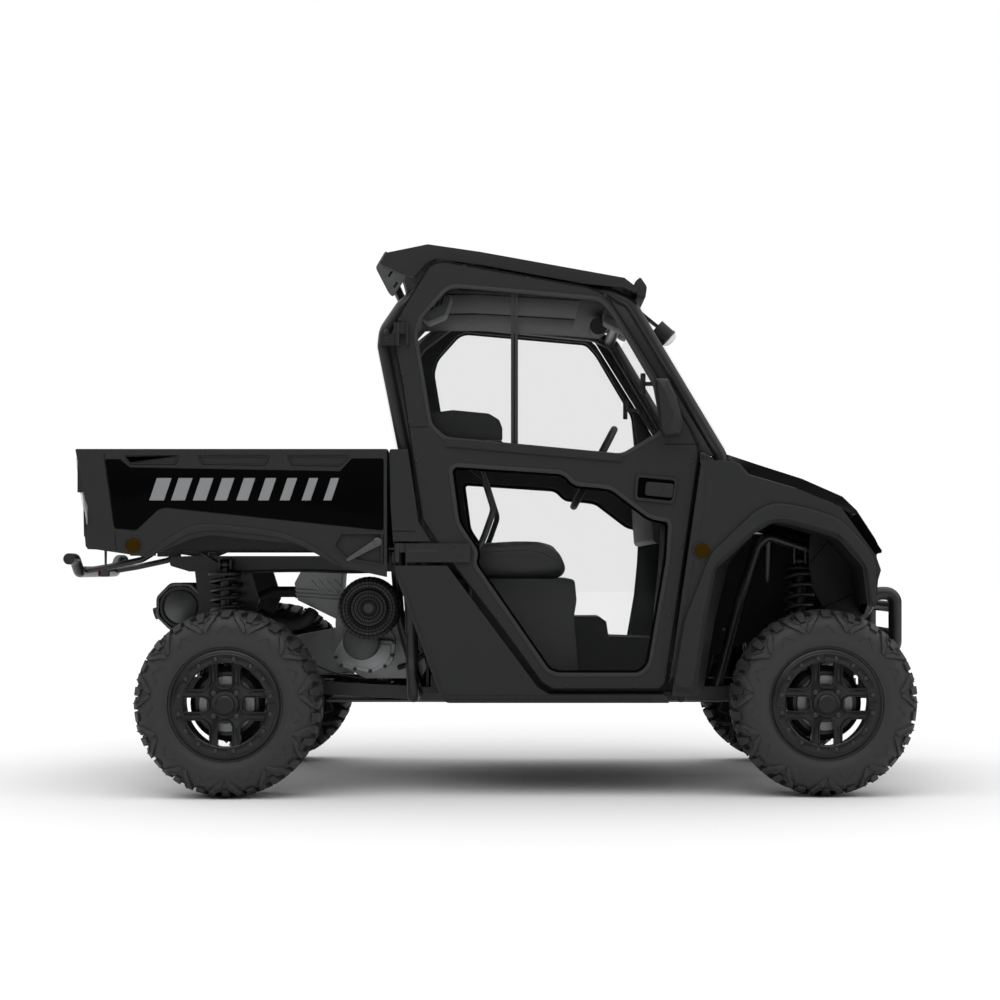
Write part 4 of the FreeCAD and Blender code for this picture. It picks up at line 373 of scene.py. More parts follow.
def bevelled(piece, width, segments=2, angle=32):
    """Rounds the edges that are sharper than the angle."""
    bevel = piece.modifiers.new("bevel", "BEVEL")
    bevel.width = width
    bevel.segments = segments
    bevel.limit_method = "ANGLE"
    bevel.angle_limit = math.radians(angle)
    settle(piece)
    shade_by_angle(piece.data, min(angle, SHARPEST_SHADED))
    return piece


def tube(points, radius, paint_name, bend=3, sides=12):
    """A round bar or hose along smooth points."""
    data = bpy.data.curves.new("part", "CURVE")
    data.dimensions = "3D"
    data.bevel_depth = radius
    data.bevel_resolution = max(1, sides // 4 - 1)
    data.resolution_u = bend * 3
    data.use_fill_caps = True
    spline = data.splines.new("NURBS")
    spline.points.add(len(points) - 1)
    for slot, point in zip(spline.points, points):
        slot.co = (*point, 1)
    spline.order_u = bend
    spline.use_endpoint_u = True
    source = bpy.data.objects.new("part", data)
    bpy.context.scene.collection.objects.link(source)
    bpy.context.view_layer.update()
    graph = bpy.context.evaluated_depsgraph_get()
    mesh = bpy.data.meshes.new_from_object(source.evaluated_get(graph))
    bpy.data.objects.remove(source)
    return new_piece(mesh, paint_name, 60)


def lathe(profile, sides, paint_name, centre=(0, 0, 0), smooth=35, closed=True):
    """A turned shape from (radius, along) pairs about the Y axis through the centre."""
    points, faces = [], []
    count = len(profile)
    for k in range(sides):
        angle = 2 * math.pi * k / sides
        c, s = math.cos(angle), math.sin(angle)
        for radius, along in profile:
            points.append(Vector(centre) + Vector((radius * s, along, radius * c)))
    last = count if closed else count - 1
    for k in range(sides):
        for j in range(last):
            a, b = k * count + j, k * count + (j + 1) % count
            c, d = ((k + 1) % sides) * count + (j + 1) % count, ((k + 1) % sides) * count + j
            faces.append((a, b, c, d))
    mesh = mesh_from(points, faces)
    weld(mesh)
    return new_piece(mesh, paint_name, smooth)


def weld(mesh):
    """Merges doubled points, drops empty faces and points the rest outwards."""
    shape = bmesh.new()
    shape.from_mesh(mesh)
    bmesh.ops.remove_doubles(shape, verts=shape.verts, dist=WELD_DISTANCE)
    bmesh.ops.dissolve_degenerate(shape, edges=shape.edges, dist=WELD_DISTANCE)
    bmesh.ops.recalc_face_normals(shape, faces=shape.faces)
    shape.to_mesh(mesh)
    shape.free()


def plate(outline, y0, y1, paint_name, holes=(), bevel=0.0):
    """A flat plate from an (x, z) outline with holes, between two places across."""
    shape = bmesh.new()
    edges = []
    for loop in (outline, *holes):
        verts = [shape.verts.new((x, y0, z)) for x, z in loop]
        edges += [shape.edges.new((verts[k], verts[(k + 1) % len(verts)])) for k in range(len(verts))]
    bmesh.ops.triangle_fill(shape, use_beauty=True, use_dissolve=True, edges=edges)
    made = bmesh.ops.extrude_face_region(shape, geom=list(shape.faces))
    moved = [item for item in made["geom"] if isinstance(item, bmesh.types.BMVert)]
    bmesh.ops.translate(shape, verts=moved, vec=(0, y1 - y0, 0))
    bmesh.ops.recalc_face_normals(shape, faces=shape.faces)
    mesh = bpy.data.meshes.new("part")
    shape.to_mesh(mesh)
    shape.free()
    piece = new_piece(mesh, paint_name, 35)
    return bevelled(piece, bevel) if bevel else piece


def block(low, high, paint_name, bevel, segments=2):
    """A box with rounded edges between two corners."""
    shape = bmesh.new()
    bmesh.ops.create_cube(shape, size=1)
    for vert in shape.verts:
        vert.co = [low[k] + (vert.co[k] + 0.5) * (high[k] - low[k]) for k in range(3)]
    mesh = bpy.data.meshes.new("part")
    shape.to_mesh(mesh)
    shape.free()
    return bevelled(new_piece(mesh, paint_name), bevel, segments)


def node_tree(name, inputs):
    """A Geometry Nodes tree with a Geometry input, further inputs and one Geometry output."""
    tree = bpy.data.node_groups.new(name, "GeometryNodeTree")
    tree.interface.new_socket(name="Geometry", in_out="INPUT", socket_type="NodeSocketGeometry")
    for label, kind in inputs:
        tree.interface.new_socket(name=label, in_out="INPUT", socket_type=kind)
    tree.interface.new_socket(name="Geometry", in_out="OUTPUT", socket_type="NodeSocketGeometry")
    return tree, tree.nodes.new("NodeGroupInput"), tree.nodes.new("NodeGroupOutput")


def end_tree(tree, start, end, instances):
    """Realises the instances and gives them the material."""
    real = add_node(tree, "GeometryNodeRealizeInstances", Geometry=instances)
    done = add_node(tree, "GeometryNodeSetMaterial", Geometry=real.outputs[0],
                    Material=start.outputs["Material"])
    tree.links.new(done.outputs[0], end.inputs[0])


def around_tree():
    """Copies the piece a number of times about the Y axis."""
    found = bpy.data.node_groups.get("around_axle")
    if found:
        return found
    tree, start, end = node_tree("around_axle", (("Count", "NodeSocketInt"),
                                                 ("Material", "NodeSocketMaterial")))
    spots = add_node(tree, "GeometryNodePoints", Count=start.outputs["Count"])
    index = tree.nodes.new("GeometryNodeInputIndex").outputs[0]
    part = math_node(tree, "DIVIDE", index, start.outputs["Count"])
    angle = math_node(tree, "MULTIPLY", part, 2 * math.pi)
    euler = add_node(tree, "ShaderNodeCombineXYZ", Y=angle)
    turn = add_node(tree, "FunctionNodeEulerToRotation", i0=euler.outputs[0])
    placed = add_node(
        tree, "GeometryNodeInstanceOnPoints", Points=spots.outputs[0], Instance=start.outputs["Geometry"],
        Rotation=turn.outputs[0],
    )
    end_tree(tree, start, end, placed.outputs[0])
    return tree


def spots_tree():
    """Copies an object to each point, its Z axis along the point's facing."""
    found = bpy.data.node_groups.get("at_spots")
    if found:
        return found
    tree, start, end = node_tree("at_spots", (("Piece", "NodeSocketObject"),
                                              ("Material", "NodeSocketMaterial")))
    facing = add_node(tree, "GeometryNodeInputNamedAttribute", {"data_type": "FLOAT_VECTOR"},
                      i0="facing").outputs[0]
    turn = add_node(tree, "FunctionNodeAlignRotationToVector", {"axis": "Z"}, Vector=facing)
    source = add_node(tree, "GeometryNodeObjectInfo", {"transform_space": "ORIGINAL"},
                      i0=start.outputs["Piece"])
    placed = add_node(tree, "GeometryNodeInstanceOnPoints", Points=start.outputs["Geometry"],
                      Instance=source.outputs["Geometry"], Rotation=turn.outputs[0])
    end_tree(tree, start, end, placed.outputs[0])
    return tree


def run_tree(piece, tree, values):
    """Applies a Geometry Nodes tree with its named inputs."""
    modifier = piece.modifiers.new(tree.name, "NODES")
    modifier.node_group = tree
    for item in tree.interface.items_tree:
        if item.in_out == "INPUT" and item.name in values:
            modifier[item.identifier] = values[item.name]
    return settle(piece)


def copies_around(piece, count, paint_name, smooth=None):
    """The piece repeated about the Y axis through the origin."""
    run_tree(piece, around_tree(), {"Count": count, "Material": paints()[paint_name]})
    if smooth is not None:
        shade_by_angle(piece.data, smooth)
    return piece


def copies_at(spots, template, paint_name):
    """A template's shape at each (place, facing) spot; the template is removed."""
    mesh = bpy.data.meshes.new("part")
    mesh.from_pydata([place for place, _ in spots], [], [])
    facing = mesh.attributes.new("facing", "FLOAT_VECTOR", "POINT")
    for slot, (_, way) in zip(facing.data, spots):
        slot.vector = way
    piece = new_piece(mesh)
    run_tree(piece, spots_tree(), {"Piece": template, "Material": paints()[paint_name]})
    if "facing" in piece.data.attributes:
        piece.data.attributes.remove(piece.data.attributes["facing"])
    bpy.data.objects.remove(template)
    return piece


def flipped(piece, name):
    """A copy of the piece on the other side of the centre plane."""
    mesh = piece.data.copy()
    mesh.transform(Matrix.Scale(-1, 4, (0, 1, 0)))
    mesh.flip_normals()
    twin = bpy.data.objects.new(name, mesh)
    bpy.context.scene.collection.objects.link(twin)
    return twin


def moved(piece, place):
    """Moves the piece's mesh."""
    piece.data.transform(Matrix.Translation(place))
    return piece


# Names and bodies of the pieces

def put(piece, body, node=None):
    """Hides the node that a piece stands for and puts the piece on its body."""
    if node:
        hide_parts(node)
    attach(piece, body)


def both(make, name, body, node=None):
    """Joins a right hand piece, makes its left hand twin, and puts each on its body."""
    right = joined_piece(name + "_right", make())
    left = flipped(right, name + "_left")
    for side, piece in (("right", right), ("left", left)):
        put(piece, body.format(side), node and node.format(side))


def single(make, name, body, node=None):
    """Joins one piece and puts it on its body."""
    put(joined_piece(name, make()), body, node)


# Wheels

class UTVWheelSettings(bpy.types.PropertyGroup):
    """Sizes of the tyres and the wheels."""

    outer_radius: bpy.props.FloatProperty(
        name="Outer radius", description="Over the tread", unit="LENGTH", default=0.320, min=0.1
    )
    lug_height: bpy.props.FloatProperty(name="Lug height", description="Tread blocks above the carcass",
                                        unit="LENGTH", default=0.018, min=0.002)
    periods: bpy.props.IntProperty(name="Tread periods", description="Pattern repeats round a tyre",
                                   default=11, min=5)
    ring_bolts: bpy.props.IntProperty(name="Ring bolts", description="Bolts round the wheel's ring",
                                      default=16, min=4)


def wheel_sizes():
    """The settings of the tyres and wheels."""
    return bpy.context.scene.utv_wheels


def tyre_line(half):
    """Even stations (across, radius) along a tyre's section from the middle of the tread to the bead."""
    top = wheel_sizes().outer_radius - wheel_sizes().lug_height
    knots = [(-0.02, top), (0.0, top), (half - 0.040, top - 0.002), (half - 0.016, top - 0.014),
             (half - 0.003, top - 0.034), (half, top - 0.058), (half - 0.002, top - 0.082),
             (half - 0.009, top - 0.100), (half - 0.012, top - 0.106), (half - 0.018, top - 0.108),
             (half - 0.022, top - 0.116), (half - 0.040, top - 0.120)]
    dense = []
    for a, b, c, d in zip(knots, knots[1:], knots[2:], knots[3:]):
        for step in range(12):
            dense.append(curve_point(a, b, c, d, step / 12))
    return dense


def curve_point(a, b, c, d, t):
    """A point of the smooth curve through b and c."""
    weights = (-t**3 + 2 * t**2 - t, 3 * t**3 - 5 * t**2 + 2, -3 * t**3 + 4 * t**2 + t, t**3 - t**2)
    return tuple(0.5 * sum(w * p[k] for w, p in zip(weights, (a, b, c, d))) for k in (0, 1))


class TyreSurface:
    """Maps a place round the tread, a place along the section and a height to a point."""

    def __init__(self, half):
        """Measures the section of a tyre of half a width."""
        self.line = tyre_line(half)
        self.reach = [0.0]
        for (y0, r0), (y1, r1) in zip(self.line, self.line[1:]):
            self.reach.append(self.reach[-1] + math.hypot(y1 - y0, r1 - r0))

    def section(self, along):
        """Across, radius and the outward slope at a distance along the section."""
        sign = -1 if along < 0 else 1
        along = abs(along)
        k = max(j for j, reach in enumerate(self.reach[:-1]) if reach <= along)
        (y0, r0), (y1, r1) = self.line[k], self.line[k + 1]
        span = self.reach[k + 1] - self.reach[k]
        t = (along - self.reach[k]) / span
        dy, dr = (y1 - y0) / span, (r1 - r0) / span
        return sign * (y0 + t * (y1 - y0)), r0 + t * (r1 - r0), -sign * dr, dy

    def at_radius(self, radius):
        """The distance along the section where the side wall has that radius."""
        k = min(j for j, (_, r) in enumerate(self.line) if r <= radius and j > 12)
        return self.reach[k]

    def point(self, angle, along, height):
        """The point at an angle round the tyre, a distance along the section and a height above it."""
        across, radius, out_across, out_radius = self.section(along)
        radius += height * out_radius
        across += height * out_across
        return Vector((radius * math.sin(angle), across, radius * math.cos(angle)))


FLAT_RADIUS = 0.3  # radius at which an angle round the tyre becomes a length
LUG_FOOT = -0.004  # a lug's foot is this deep in the carcass
LUG_TAPER = 0.0022  # how much narrower a lug's top is on each side


def strip_lug(surface, path, height_from, height_to):
    """A closed lug along a path of (angle in degrees, along, half width)."""
    flat = [(math.radians(a) * FLAT_RADIUS, s, w) for a, s, w in path]
    points, rows = [], []
    for k, (u, s, w) in enumerate(flat):
        before, after = flat[max(k - 1, 0)], flat[min(k + 1, len(flat) - 1)]
        du, ds = after[0] - before[0], after[1] - before[1]
        length = math.hypot(du, ds) or 1.0
        nu, ns = -ds / length, du / length
        height = height_from + (height_to - height_from) * k / (len(flat) - 1)
        row = []
        for side, rise, narrow in ((1, LUG_FOOT, 0.0), (1, height, LUG_TAPER),
                                   (-1, height, LUG_TAPER), (-1, LUG_FOOT, 0.0)):
            reach = side * (w - narrow)
            row.append(len(points))
            points.append(surface.point((u + nu * reach) / FLAT_RADIUS, s + ns * reach, rise))
        rows.append(row)
    faces = [tuple(rows[0]), tuple(reversed(rows[-1]))]
    for first, second in zip(rows, rows[1:]):
        for k in range(4):
            faces.append((first[k], first[(k + 1) % 4], second[(k + 1) % 4], second[k]))
    return points, faces


def tread_period(surface, half, side):
    """The lugs of one pattern repeat on one side of a tyre."""
    pitch = 360 / wheel_sizes().periods
    tall = wheel_sizes().lug_height
    apex = surface.at_radius(0.256)
    low = surface.at_radius(0.275)
    edge = surface.at_radius(0.294)
    lugs = []
    for way in (-1, 1):
        arm = [(way * 1.2, apex, 0.007), (way * 4.2, low, 0.011), (way * 8.2, edge, 0.013),
               (way * 9.2, half - 0.045, 0.014), (way * 7.6, half * 0.36, 0.013),
               (way * 6.0, half * 0.2, 0.012)]
        lugs.append((arm, 0.007, tall))
        ridge = [(way * 2.2, low - 0.004, 0.0022), (way * 6.6, edge + 0.004, 0.003),
                 (way * 7.6, edge - 0.012, 0.003)]
        lugs.append((ridge, 0.0125, 0.0175))
    lugs.append(([(0, edge + 0.010, 0.011), (0, half - 0.042, 0.016), (0, half * 0.45, 0.014)], 0.008, tall))
    mid = pitch / 2
    lugs.append(([(mid, edge + 0.001, 0.016), (mid, half - 0.050, 0.018), (mid + 1.0, half * 0.34, 0.014)],
                 0.009, tall))
    lugs.append(([(mid - 4.6, half * 0.30, 0.012), (mid - 2.2, half * 0.02, 0.012)], tall, tall))
    lugs.append(([(2.4, half * 0.12, 0.012), (-1.6, -half * 0.08, 0.011)], tall, tall))
    for way in (-1, 1):
        mark = [(mid + way * 6.4, surface.at_radius(0.243), 0.0035),
                (mid + way * 0.4, surface.at_radius(0.268), 0.0045)]
        lugs.append((mark, 0.0028, 0.0028))
    points, faces = [], []
    for path, first, last in lugs:
        path = [(a + (pitch / 2 if side > 0 else 0), s, w) for a, s, w in path]
        more, made = strip_lug(surface, path, first, last)
        if side > 0:
            more = [Vector((p.x, -p.y, p.z)) for p in more]
        faces += [tuple(len(points) + k for k in face) for face in made]
        points += more
    return points, faces


def tyre_parts(half):
    """A tyre's carcass and tread about the Y axis at the origin."""
    surface = TyreSurface(half)
    right = [(radius, -across) for across, radius in surface.line]
    left = [(radius, across) for radius, across in reversed(right)]
    profile = right[::-1] + [(r, y) for r, y in left[::-1]][1:]
    bore = [(profile[-1][0] - 0.002, profile[-1][1] - 0.006), (profile[0][0] - 0.002, profile[0][1] + 0.006)]
    carcass = lathe(profile + bore, 132, "rubber", smooth=50)
    tread = []
    for side in (-1, 1):
        points, faces = tread_period(surface, half, side)
        period = bevelled(new_piece(mesh_from(points, faces), "rubber"), 0.0016, 1, 25)
        tread.append(copies_around(period, wheel_sizes().periods, "rubber"))
    return [carcass, *tread]


def ring_points(radius, count, start=0.0, sweep=360.0):
    """Points on a circle in the wheel's plane, as (x, z)."""
    step = sweep / (count if sweep == 360 else count - 1)
    return [
        (radius * math.cos(math.radians(start + k * step)), radius * math.sin(math.radians(start + k * step)))
        for k in range(count)
    ]


def turned_points(points, degrees):
    """The (x, z) points turned about the origin."""
    c, s = math.cos(math.radians(degrees)), math.sin(math.radians(degrees))
    return [(x * c - z * s, x * s + z * c) for x, z in points]


NARROW_RAIL_POINTS = 8
WIDE_RAIL_POINTS = 6
WHEEL_BACK_GAP = 0.026


def wheel_windows():
    """Outlines of the four narrow and the four wide openings of a wheel face."""
    narrow = [(-0.024, 0.139), (-0.024, 0.074), (-0.019, 0.063), (-0.010, 0.058), (0.010, 0.058),
              (0.019, 0.063), (0.024, 0.074), (0.024, 0.139), (0.012, 0.1415), (-0.012, 0.1415)]
    wide = [(0.053, 0.131), (0.053, 0.080), (0.058, 0.068), (0.068, 0.058), (0.080, 0.053), (0.131, 0.053)]
    wide += [(0.1415 * math.cos(math.radians(a)), 0.1415 * math.sin(math.radians(a)))
             for a in (27, 36, 45, 54, 63)]
    return [turned_points(shape, 90 * k) for shape in (narrow, wide) for k in range(4)]


def border(shape, width):
    """The outline moved outwards from its own middle by about the width."""
    cx = sum(x for x, _ in shape) / len(shape)
    cz = sum(z for _, z in shape) / len(shape)
    grown = []
    for x, z in shape:
        reach = math.hypot(x - cx, z - cz)
        grown.append((x + (x - cx) / reach * width, z + (z - cz) / reach * width))
    return grown


def wheel_parts(half, y_back):
    """A wheel about the Y axis at the origin, its face towards -Y."""
    face = -half + 0.006
    valve = tube([(0.148, face + 0.012, -0.012), (0.146, face - 0.004, -0.012)], 0.003, "rubber", 2)
    return [*wheel_face(face, y_back), *wheel_ring_fittings(face), *wheel_hub(face, y_back), valve]


def wheel_face(face, y_back):
    """Barrel and face of a wheel, with the raised edges of its windows and spokes."""
    parts = []
    ring = [(0.142, face + 0.003), (0.146, face), (0.171, face), (0.174, face + 0.002), (0.178, face + 0.002),
            (0.184, face + 0.006), (0.185, face + 0.012), (0.181, face + 0.020), (0.172, face + 0.026),
            (0.170, y_back - 0.020), (0.178, y_back - 0.006), (0.184, y_back - 0.004), (0.184, y_back),
            (0.165, y_back), (0.165, face + 0.042), (0.142, face + 0.024)]
    parts.append(lathe(ring, 96, "alloy", smooth=30))
    holes = wheel_windows()
    parts.append(plate(ring_points(0.1445, 64), face + 0.006, face + 0.026, "alloy", holes, 0.0016))
    for k, hole in enumerate(holes):
        count = NARROW_RAIL_POINTS if k < 4 else WIDE_RAIL_POINTS
        rail = hole[:count] + border(hole, 0.006)[:count][::-1]
        parts.append(plate(rail, face - 0.001, face + 0.008, "alloy", (), 0.0018))
    ridge = [(0.0362, 0.141), (0.0355, 0.078), (0.0415, 0.078), (0.0422, 0.141)]
    for k in range(4):
        for way in (1, -1):
            shape = turned_points([(way * x, z) for x, z in ridge], 90 * k)
            parts.append(plate(shape, face + 0.003, face + 0.008, "alloy", (), 0.001))
    return parts


RING_PADS = 8
PAD_SPAN = (14.75, 33.5)  # degrees at which a pad starts and how far it sweeps
RING_BOLT_RADIUS = 0.1575
HUB_NUTS = 4
HUB_NUT_X = 0.0385  # a nut's distance from the axle, both along and up


def wheel_ring_fittings(face):
    """Raised pads and bolts round a wheel's outer ring."""
    pad = ring_points(0.171, 12, *PAD_SPAN) + ring_points(0.147, 12, *PAD_SPAN)[::-1]
    parts = [copies_around(plate(pad, face - 0.003, face + 0.001, "alloy", (), 0.0008), RING_PADS, "alloy")]
    bolt = lathe([(0, -0.0055), (0.0042, -0.0055), (0.0062, -0.004), (0.0062, 0.001), (0, 0.001)], 14,
                 "steel", closed=False)
    turn = math.radians(11.25)
    moved(bolt, (RING_BOLT_RADIUS * math.sin(turn), face - 0.003, RING_BOLT_RADIUS * math.cos(turn)))
    parts.append(copies_around(bolt, wheel_sizes().ring_bolts, "steel", 40))
    return parts


def wheel_hub(face, y_back):
    """Hub, nuts, brake disc and drum of a wheel."""
    parts = []
    hub = [(0, face - 0.006), (0.026, face - 0.006), (0.031, face - 0.002), (0.033, face + 0.004),
           (0.037, face + 0.004), (0.046, face + 0.001), (0.049, face + 0.006), (0.049, face + 0.030),
           (0.066, face + 0.034), (0.066, y_back * 0.4), (0, y_back * 0.4)]
    parts.append(lathe(hub, 48, "alloy", closed=False, smooth=30))
    nut = [(0, -0.004), (0.006, -0.004), (0.009, -0.001), (0.010, 0.006), (0.013, 0.006), (0.0145, 0.004),
           (0.0155, 0.008), (0, 0.008)]
    nut = lathe(nut, 18, "steel", closed=False)
    moved(nut, (HUB_NUT_X, face + 0.001, HUB_NUT_X))
    parts.append(copies_around(nut, HUB_NUTS, "steel", 30))
    disc = [(0.030, face + 0.050), (0.094, face + 0.050), (0.097, face + 0.053), (0.097, face + 0.060),
            (0.030, face + 0.060)]
    parts.append(lathe(disc, 64, "casting", smooth=30))
    drum = [(0.030, face + 0.060), (0.108, face + 0.060), (0.120, face + 0.068), (0.128, face + 0.078),
            (0.128, face + 0.084), (0.030, face + 0.084)]
    parts.append(lathe(drum, 64, "steel", smooth=30))
    return parts


class UTV_OT_wheels(bpy.types.Operator):
    """Build the four tyres and wheels"""

    bl_idname = "utv.wheels"
    bl_label = "Wheels"

    def execute(self, context):
        for name, side in WHEELS:
            low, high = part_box("tyre_" + name)
            half = (high.y - low.y) / 2
            tyre = joined_piece("tread_" + name, tyre_parts(half))
            wheel = joined_piece("wheel_" + name, wheel_parts(half, half - WHEEL_BACK_GAP))
            for piece, slot, node in ((tyre, "tyre_rubber", "tyre_" + name),
                                      (wheel, "wheel_alloy", "rim_" + name)):
                if side > 0:
                    piece.data.transform(Matrix.Scale(-1, 4, (0, 1, 0)))
                    piece.data.flip_normals()
                put(moved(piece, (low + high) / 2), "wheel_" + name, node)
        return {"FINISHED"}


# Body panels

BED_INSERT = [(-1.300, 1.151), (-1.251, 1.151), (-1.217, 1.123), (-0.502, 1.110), (-0.462, 1.153),
              (-0.354, 1.153), (-0.354, 0.911), (-1.095, 0.989), (-1.119, 0.982), (-1.194, 0.912),
              (-1.268, 0.918)]
BED_POCKETS = (
    [(-1.237, 1.164), (-1.047, 1.164), (-1.061, 1.135), (-1.213, 1.135)],
    [(-0.989, 1.164), (-0.738, 1.164), (-0.755, 1.132), (-0.968, 1.135)],
    [(-0.683, 1.164), (-0.462, 1.164), (-0.502, 1.129), (-0.662, 1.132)],
)
BED_SKIN_Y = 0.745


def rounded_outline(points, radius, steps=4):
    """The outline with its corners rounded."""
    made = []
    count = len(points)
    for k in range(count):
        before, corner, after = Vector(points[k - 1]), Vector(points[k]), Vector(points[(k + 1) % count])
        reach = min(radius, (before - corner).length * 0.45, (after - corner).length * 0.45)
        start = corner + (before - corner).normalized() * reach
        end = corner + (after - corner).normalized() * reach
        for step in range(steps + 1):
            t = step / steps
            made.append(tuple(start * (1 - t) ** 2 + corner * 2 * t * (1 - t) + end * t ** 2))
    return made


def frame_strip(outline, width, y0, y1, paint_name, bevel):
    """A flat border of a width inside an outline."""
    inner = inset_outline(outline, width)
    return plate(outline, y0, y1, paint_name, (inner,), bevel)


def inset_outline(points, distance):
    """The outline moved inwards along its corners."""
    area = sum(a[0] * b[1] - b[0] * a[1] for a, b in zip(points, points[1:] + points[:1]))
    sign = 1 if area > 0 else -1
    made = []
    count = len(points)
    for k in range(count):
        before, corner, after = Vector(points[k - 1]), Vector(points[k]), Vector(points[(k + 1) % count])
        one = (corner - before).normalized()
        two = (after - corner).normalized()
        normal_one = Vector((-one.y, one.x)) * sign
        normal_two = Vector((-two.y, two.x)) * sign
        bisector = normal_one + normal_two
        if bisector.length < 1e-6:
            bisector = normal_one
        bisector.normalize()
        reach = distance / max(0.4, bisector.dot(normal_one))
        made.append(tuple(corner + bisector * reach))
    return made


SILVER_BARS = 9
BAR_PITCH = 0.074  # from one silver bar to the next
BAR_LEAN = 0.026  # how far a bar's top stands in front of its foot


def bed_side_trim():
    """Gloss insert, pocket frames and plain bars on the bed's right side."""
    y = -BED_SKIN_Y
    parts = [plate(rounded_outline(BED_INSERT, 0.008), y + 0.0052, y + 0.0008, "gloss", (), 0.0012)]
    for pocket in BED_POCKETS:
        shape = rounded_outline(pocket, 0.006)
        parts.append(plate(shape, y + 0.0082, y + 0.0032, "plastic"))
        parts.append(frame_strip(shape, 0.003, y + 0.0082, y - 0.0012, "plastic", 0.0008))
    for k in range(SILVER_BARS):
        x = -1.150 + BAR_PITCH * k
        width = 0.050 - 0.0028 * k
        bar = [(x, 1.012), (x + width, 1.012), (x + width + BAR_LEAN, 1.088), (x + BAR_LEAN, 1.088)]
        parts.append(plate(bar, y + 0.0010, y + 0.0002, "silver"))
    return parts


class UTV_OT_bed_trim(bpy.types.Operator):
    """Build the bed's side inserts"""

    bl_idname = "utv.bed_trim"
    bl_label = "Bed trim"

    def execute(self, context):
        both(bed_side_trim, "bed_insert", "bed")
        return {"FINISHED"}


# Doors

UPPER_WINDOW = [(-0.197, 1.271), (-0.248, 1.580), (-0.231, 1.638), (-0.145, 1.734), (-0.111, 1.747),
                (0.385, 1.703), (0.426, 1.658), (0.573, 1.408), (0.601, 1.247), (0.460, 1.165),
                (-0.145, 1.222)]
LOWER_WINDOW = [(-0.128, 1.117), (-0.111, 1.135), (0.248, 1.111), (0.272, 1.100), (0.299, 1.070),
                (0.385, 1.063), (0.426, 1.056), (0.556, 0.957), (0.618, 0.946), (0.625, 0.929),
                (0.618, 0.809), (0.556, 0.450), (0.522, 0.416), (0.239, 0.416), (0.205, 0.428),
                (-0.048, 0.795), (-0.038, 0.835), (-0.104, 0.935)]
DOOR_Y = 0.715
DOOR_SEAM = [(-0.323, 1.544), (-0.299, 1.424), (-0.264, 1.185), (-0.237, 1.014), (-0.227, 0.946),
             (-0.176, 0.867), (-0.135, 0.809), (0.043, 0.577), (0.180, 0.389), (0.221, 0.362),
             (0.589, 0.362), (0.613, 0.386), (0.726, 1.168), (0.723, 1.202), (0.692, 1.270), (0.425, 1.697),
             (0.384, 1.732), (0.333, 1.749), (-0.145, 1.834), (-0.176, 1.831), (-0.203, 1.817),
             (-0.299, 1.663), (-0.319, 1.612)]


WINDOW_CORNER = 0.022  # radius of a window's corners
SLIDER_BARS_X = (0.085, 0.098)


def door_trim():
    """Window seals, dark border, edge seal and the sliding window's bars of the right door."""
    y = -DOOR_Y
    parts = []
    for outline in (UPPER_WINDOW, LOWER_WINDOW):
        shape = rounded_outline(outline, WINDOW_CORNER, 5)
        parts.append(frame_strip(inset_outline(shape, -0.006), 0.014, y + 0.004, y - 0.003, "grip", 0.0022))
    lower = rounded_outline(LOWER_WINDOW, WINDOW_CORNER, 5)
    parts.append(frame_strip(inset_outline(lower, 0.004), 0.012, y + 0.0142, y + 0.0132, "gloss", 0))
    for x in SLIDER_BARS_X:
        parts.append(block((x - 0.005, y + 0.012, 1.19), (x + 0.005, y + 0.026, 1.735), "grip", 0.0015))
    parts.append(frame_strip(inset_outline(DOOR_SEAM, 0.0035), 0.005, y + 0.010, y - 0.0008, "seal", 0.0006))
    return parts


class UTV_OT_door_trim(bpy.types.Operator):
    """Build the doors' seals and window bars"""

    bl_idname = "utv.door_trim"
    bl_label = "Door trim"

    def execute(self, context):
        both(door_trim, "door_seals", "door_{}")
        return {"FINISHED"}


# Lamps and markers

HEADLAMP = [(1.262, 0.968), (1.348, 0.840), (1.324, 0.826), (1.226, 0.946)]
HEADLAMP_Y = (-0.713, -0.609)
TAIL_LENS = [(-1.403, 1.158), (-1.399, 1.120), (-1.392, 1.060), (-1.382, 1.005), (-1.371, 0.960),
             (-1.366, 0.930), (-1.356, 0.926), (-1.340, 0.940), (-1.336, 0.965), (-1.346, 1.020),
             (-1.366, 1.100), (-1.382, 1.158)]
TAIL_LENS_Y = (-0.732, -0.716)


def turned_to(piece, way, place):
    """Turns the piece's Y axis to point backwards along the way, and moves it to the place."""
    turn = Vector((0, -1, 0)).rotation_difference(Vector(way)).to_matrix().to_4x4()
    piece.data.transform(Matrix.Translation(place) @ turn)
    return piece


def round_marker(place, paint_name):
    """A round side marker: a domed lens in a thin dark ring."""
    lens = [(0, -0.0085), (0.012, -0.0083), (0.0205, -0.0076), (0.0250, -0.0062), (0.0270, -0.0040),
            (0.0273, 0), (0, 0)]
    ring = [(0.0272, -0.0046), (0.0290, -0.0046), (0.0300, -0.0030), (0.0300, 0), (0.0272, 0)]
    return [
        lathe(lens, 56, paint_name, place, closed=False, smooth=50),
        lathe(ring, 56, "grip", place),
    ]


def lamp_bowl(radius, depth, place, way):
    """A bright reflector with a lamp in its middle."""
    bowl = [(0, 0), (radius * 0.35, -0.002), (radius * 0.7, -depth * 0.45), (radius, -depth),
            (radius + 0.002, -depth), (radius + 0.002, 0.002), (0, 0.002)]
    bulb = [(0, -depth * 0.75), (radius * 0.16, -depth * 0.68), (radius * 0.22, -depth * 0.4),
            (radius * 0.22, 0), (0, 0)]
    made = [
        lathe(bowl, 40, "mirror", closed=False),
        lathe(bulb, 24, "lens", closed=False),
    ]
    return [turned_to(piece, way, place) for piece in made]


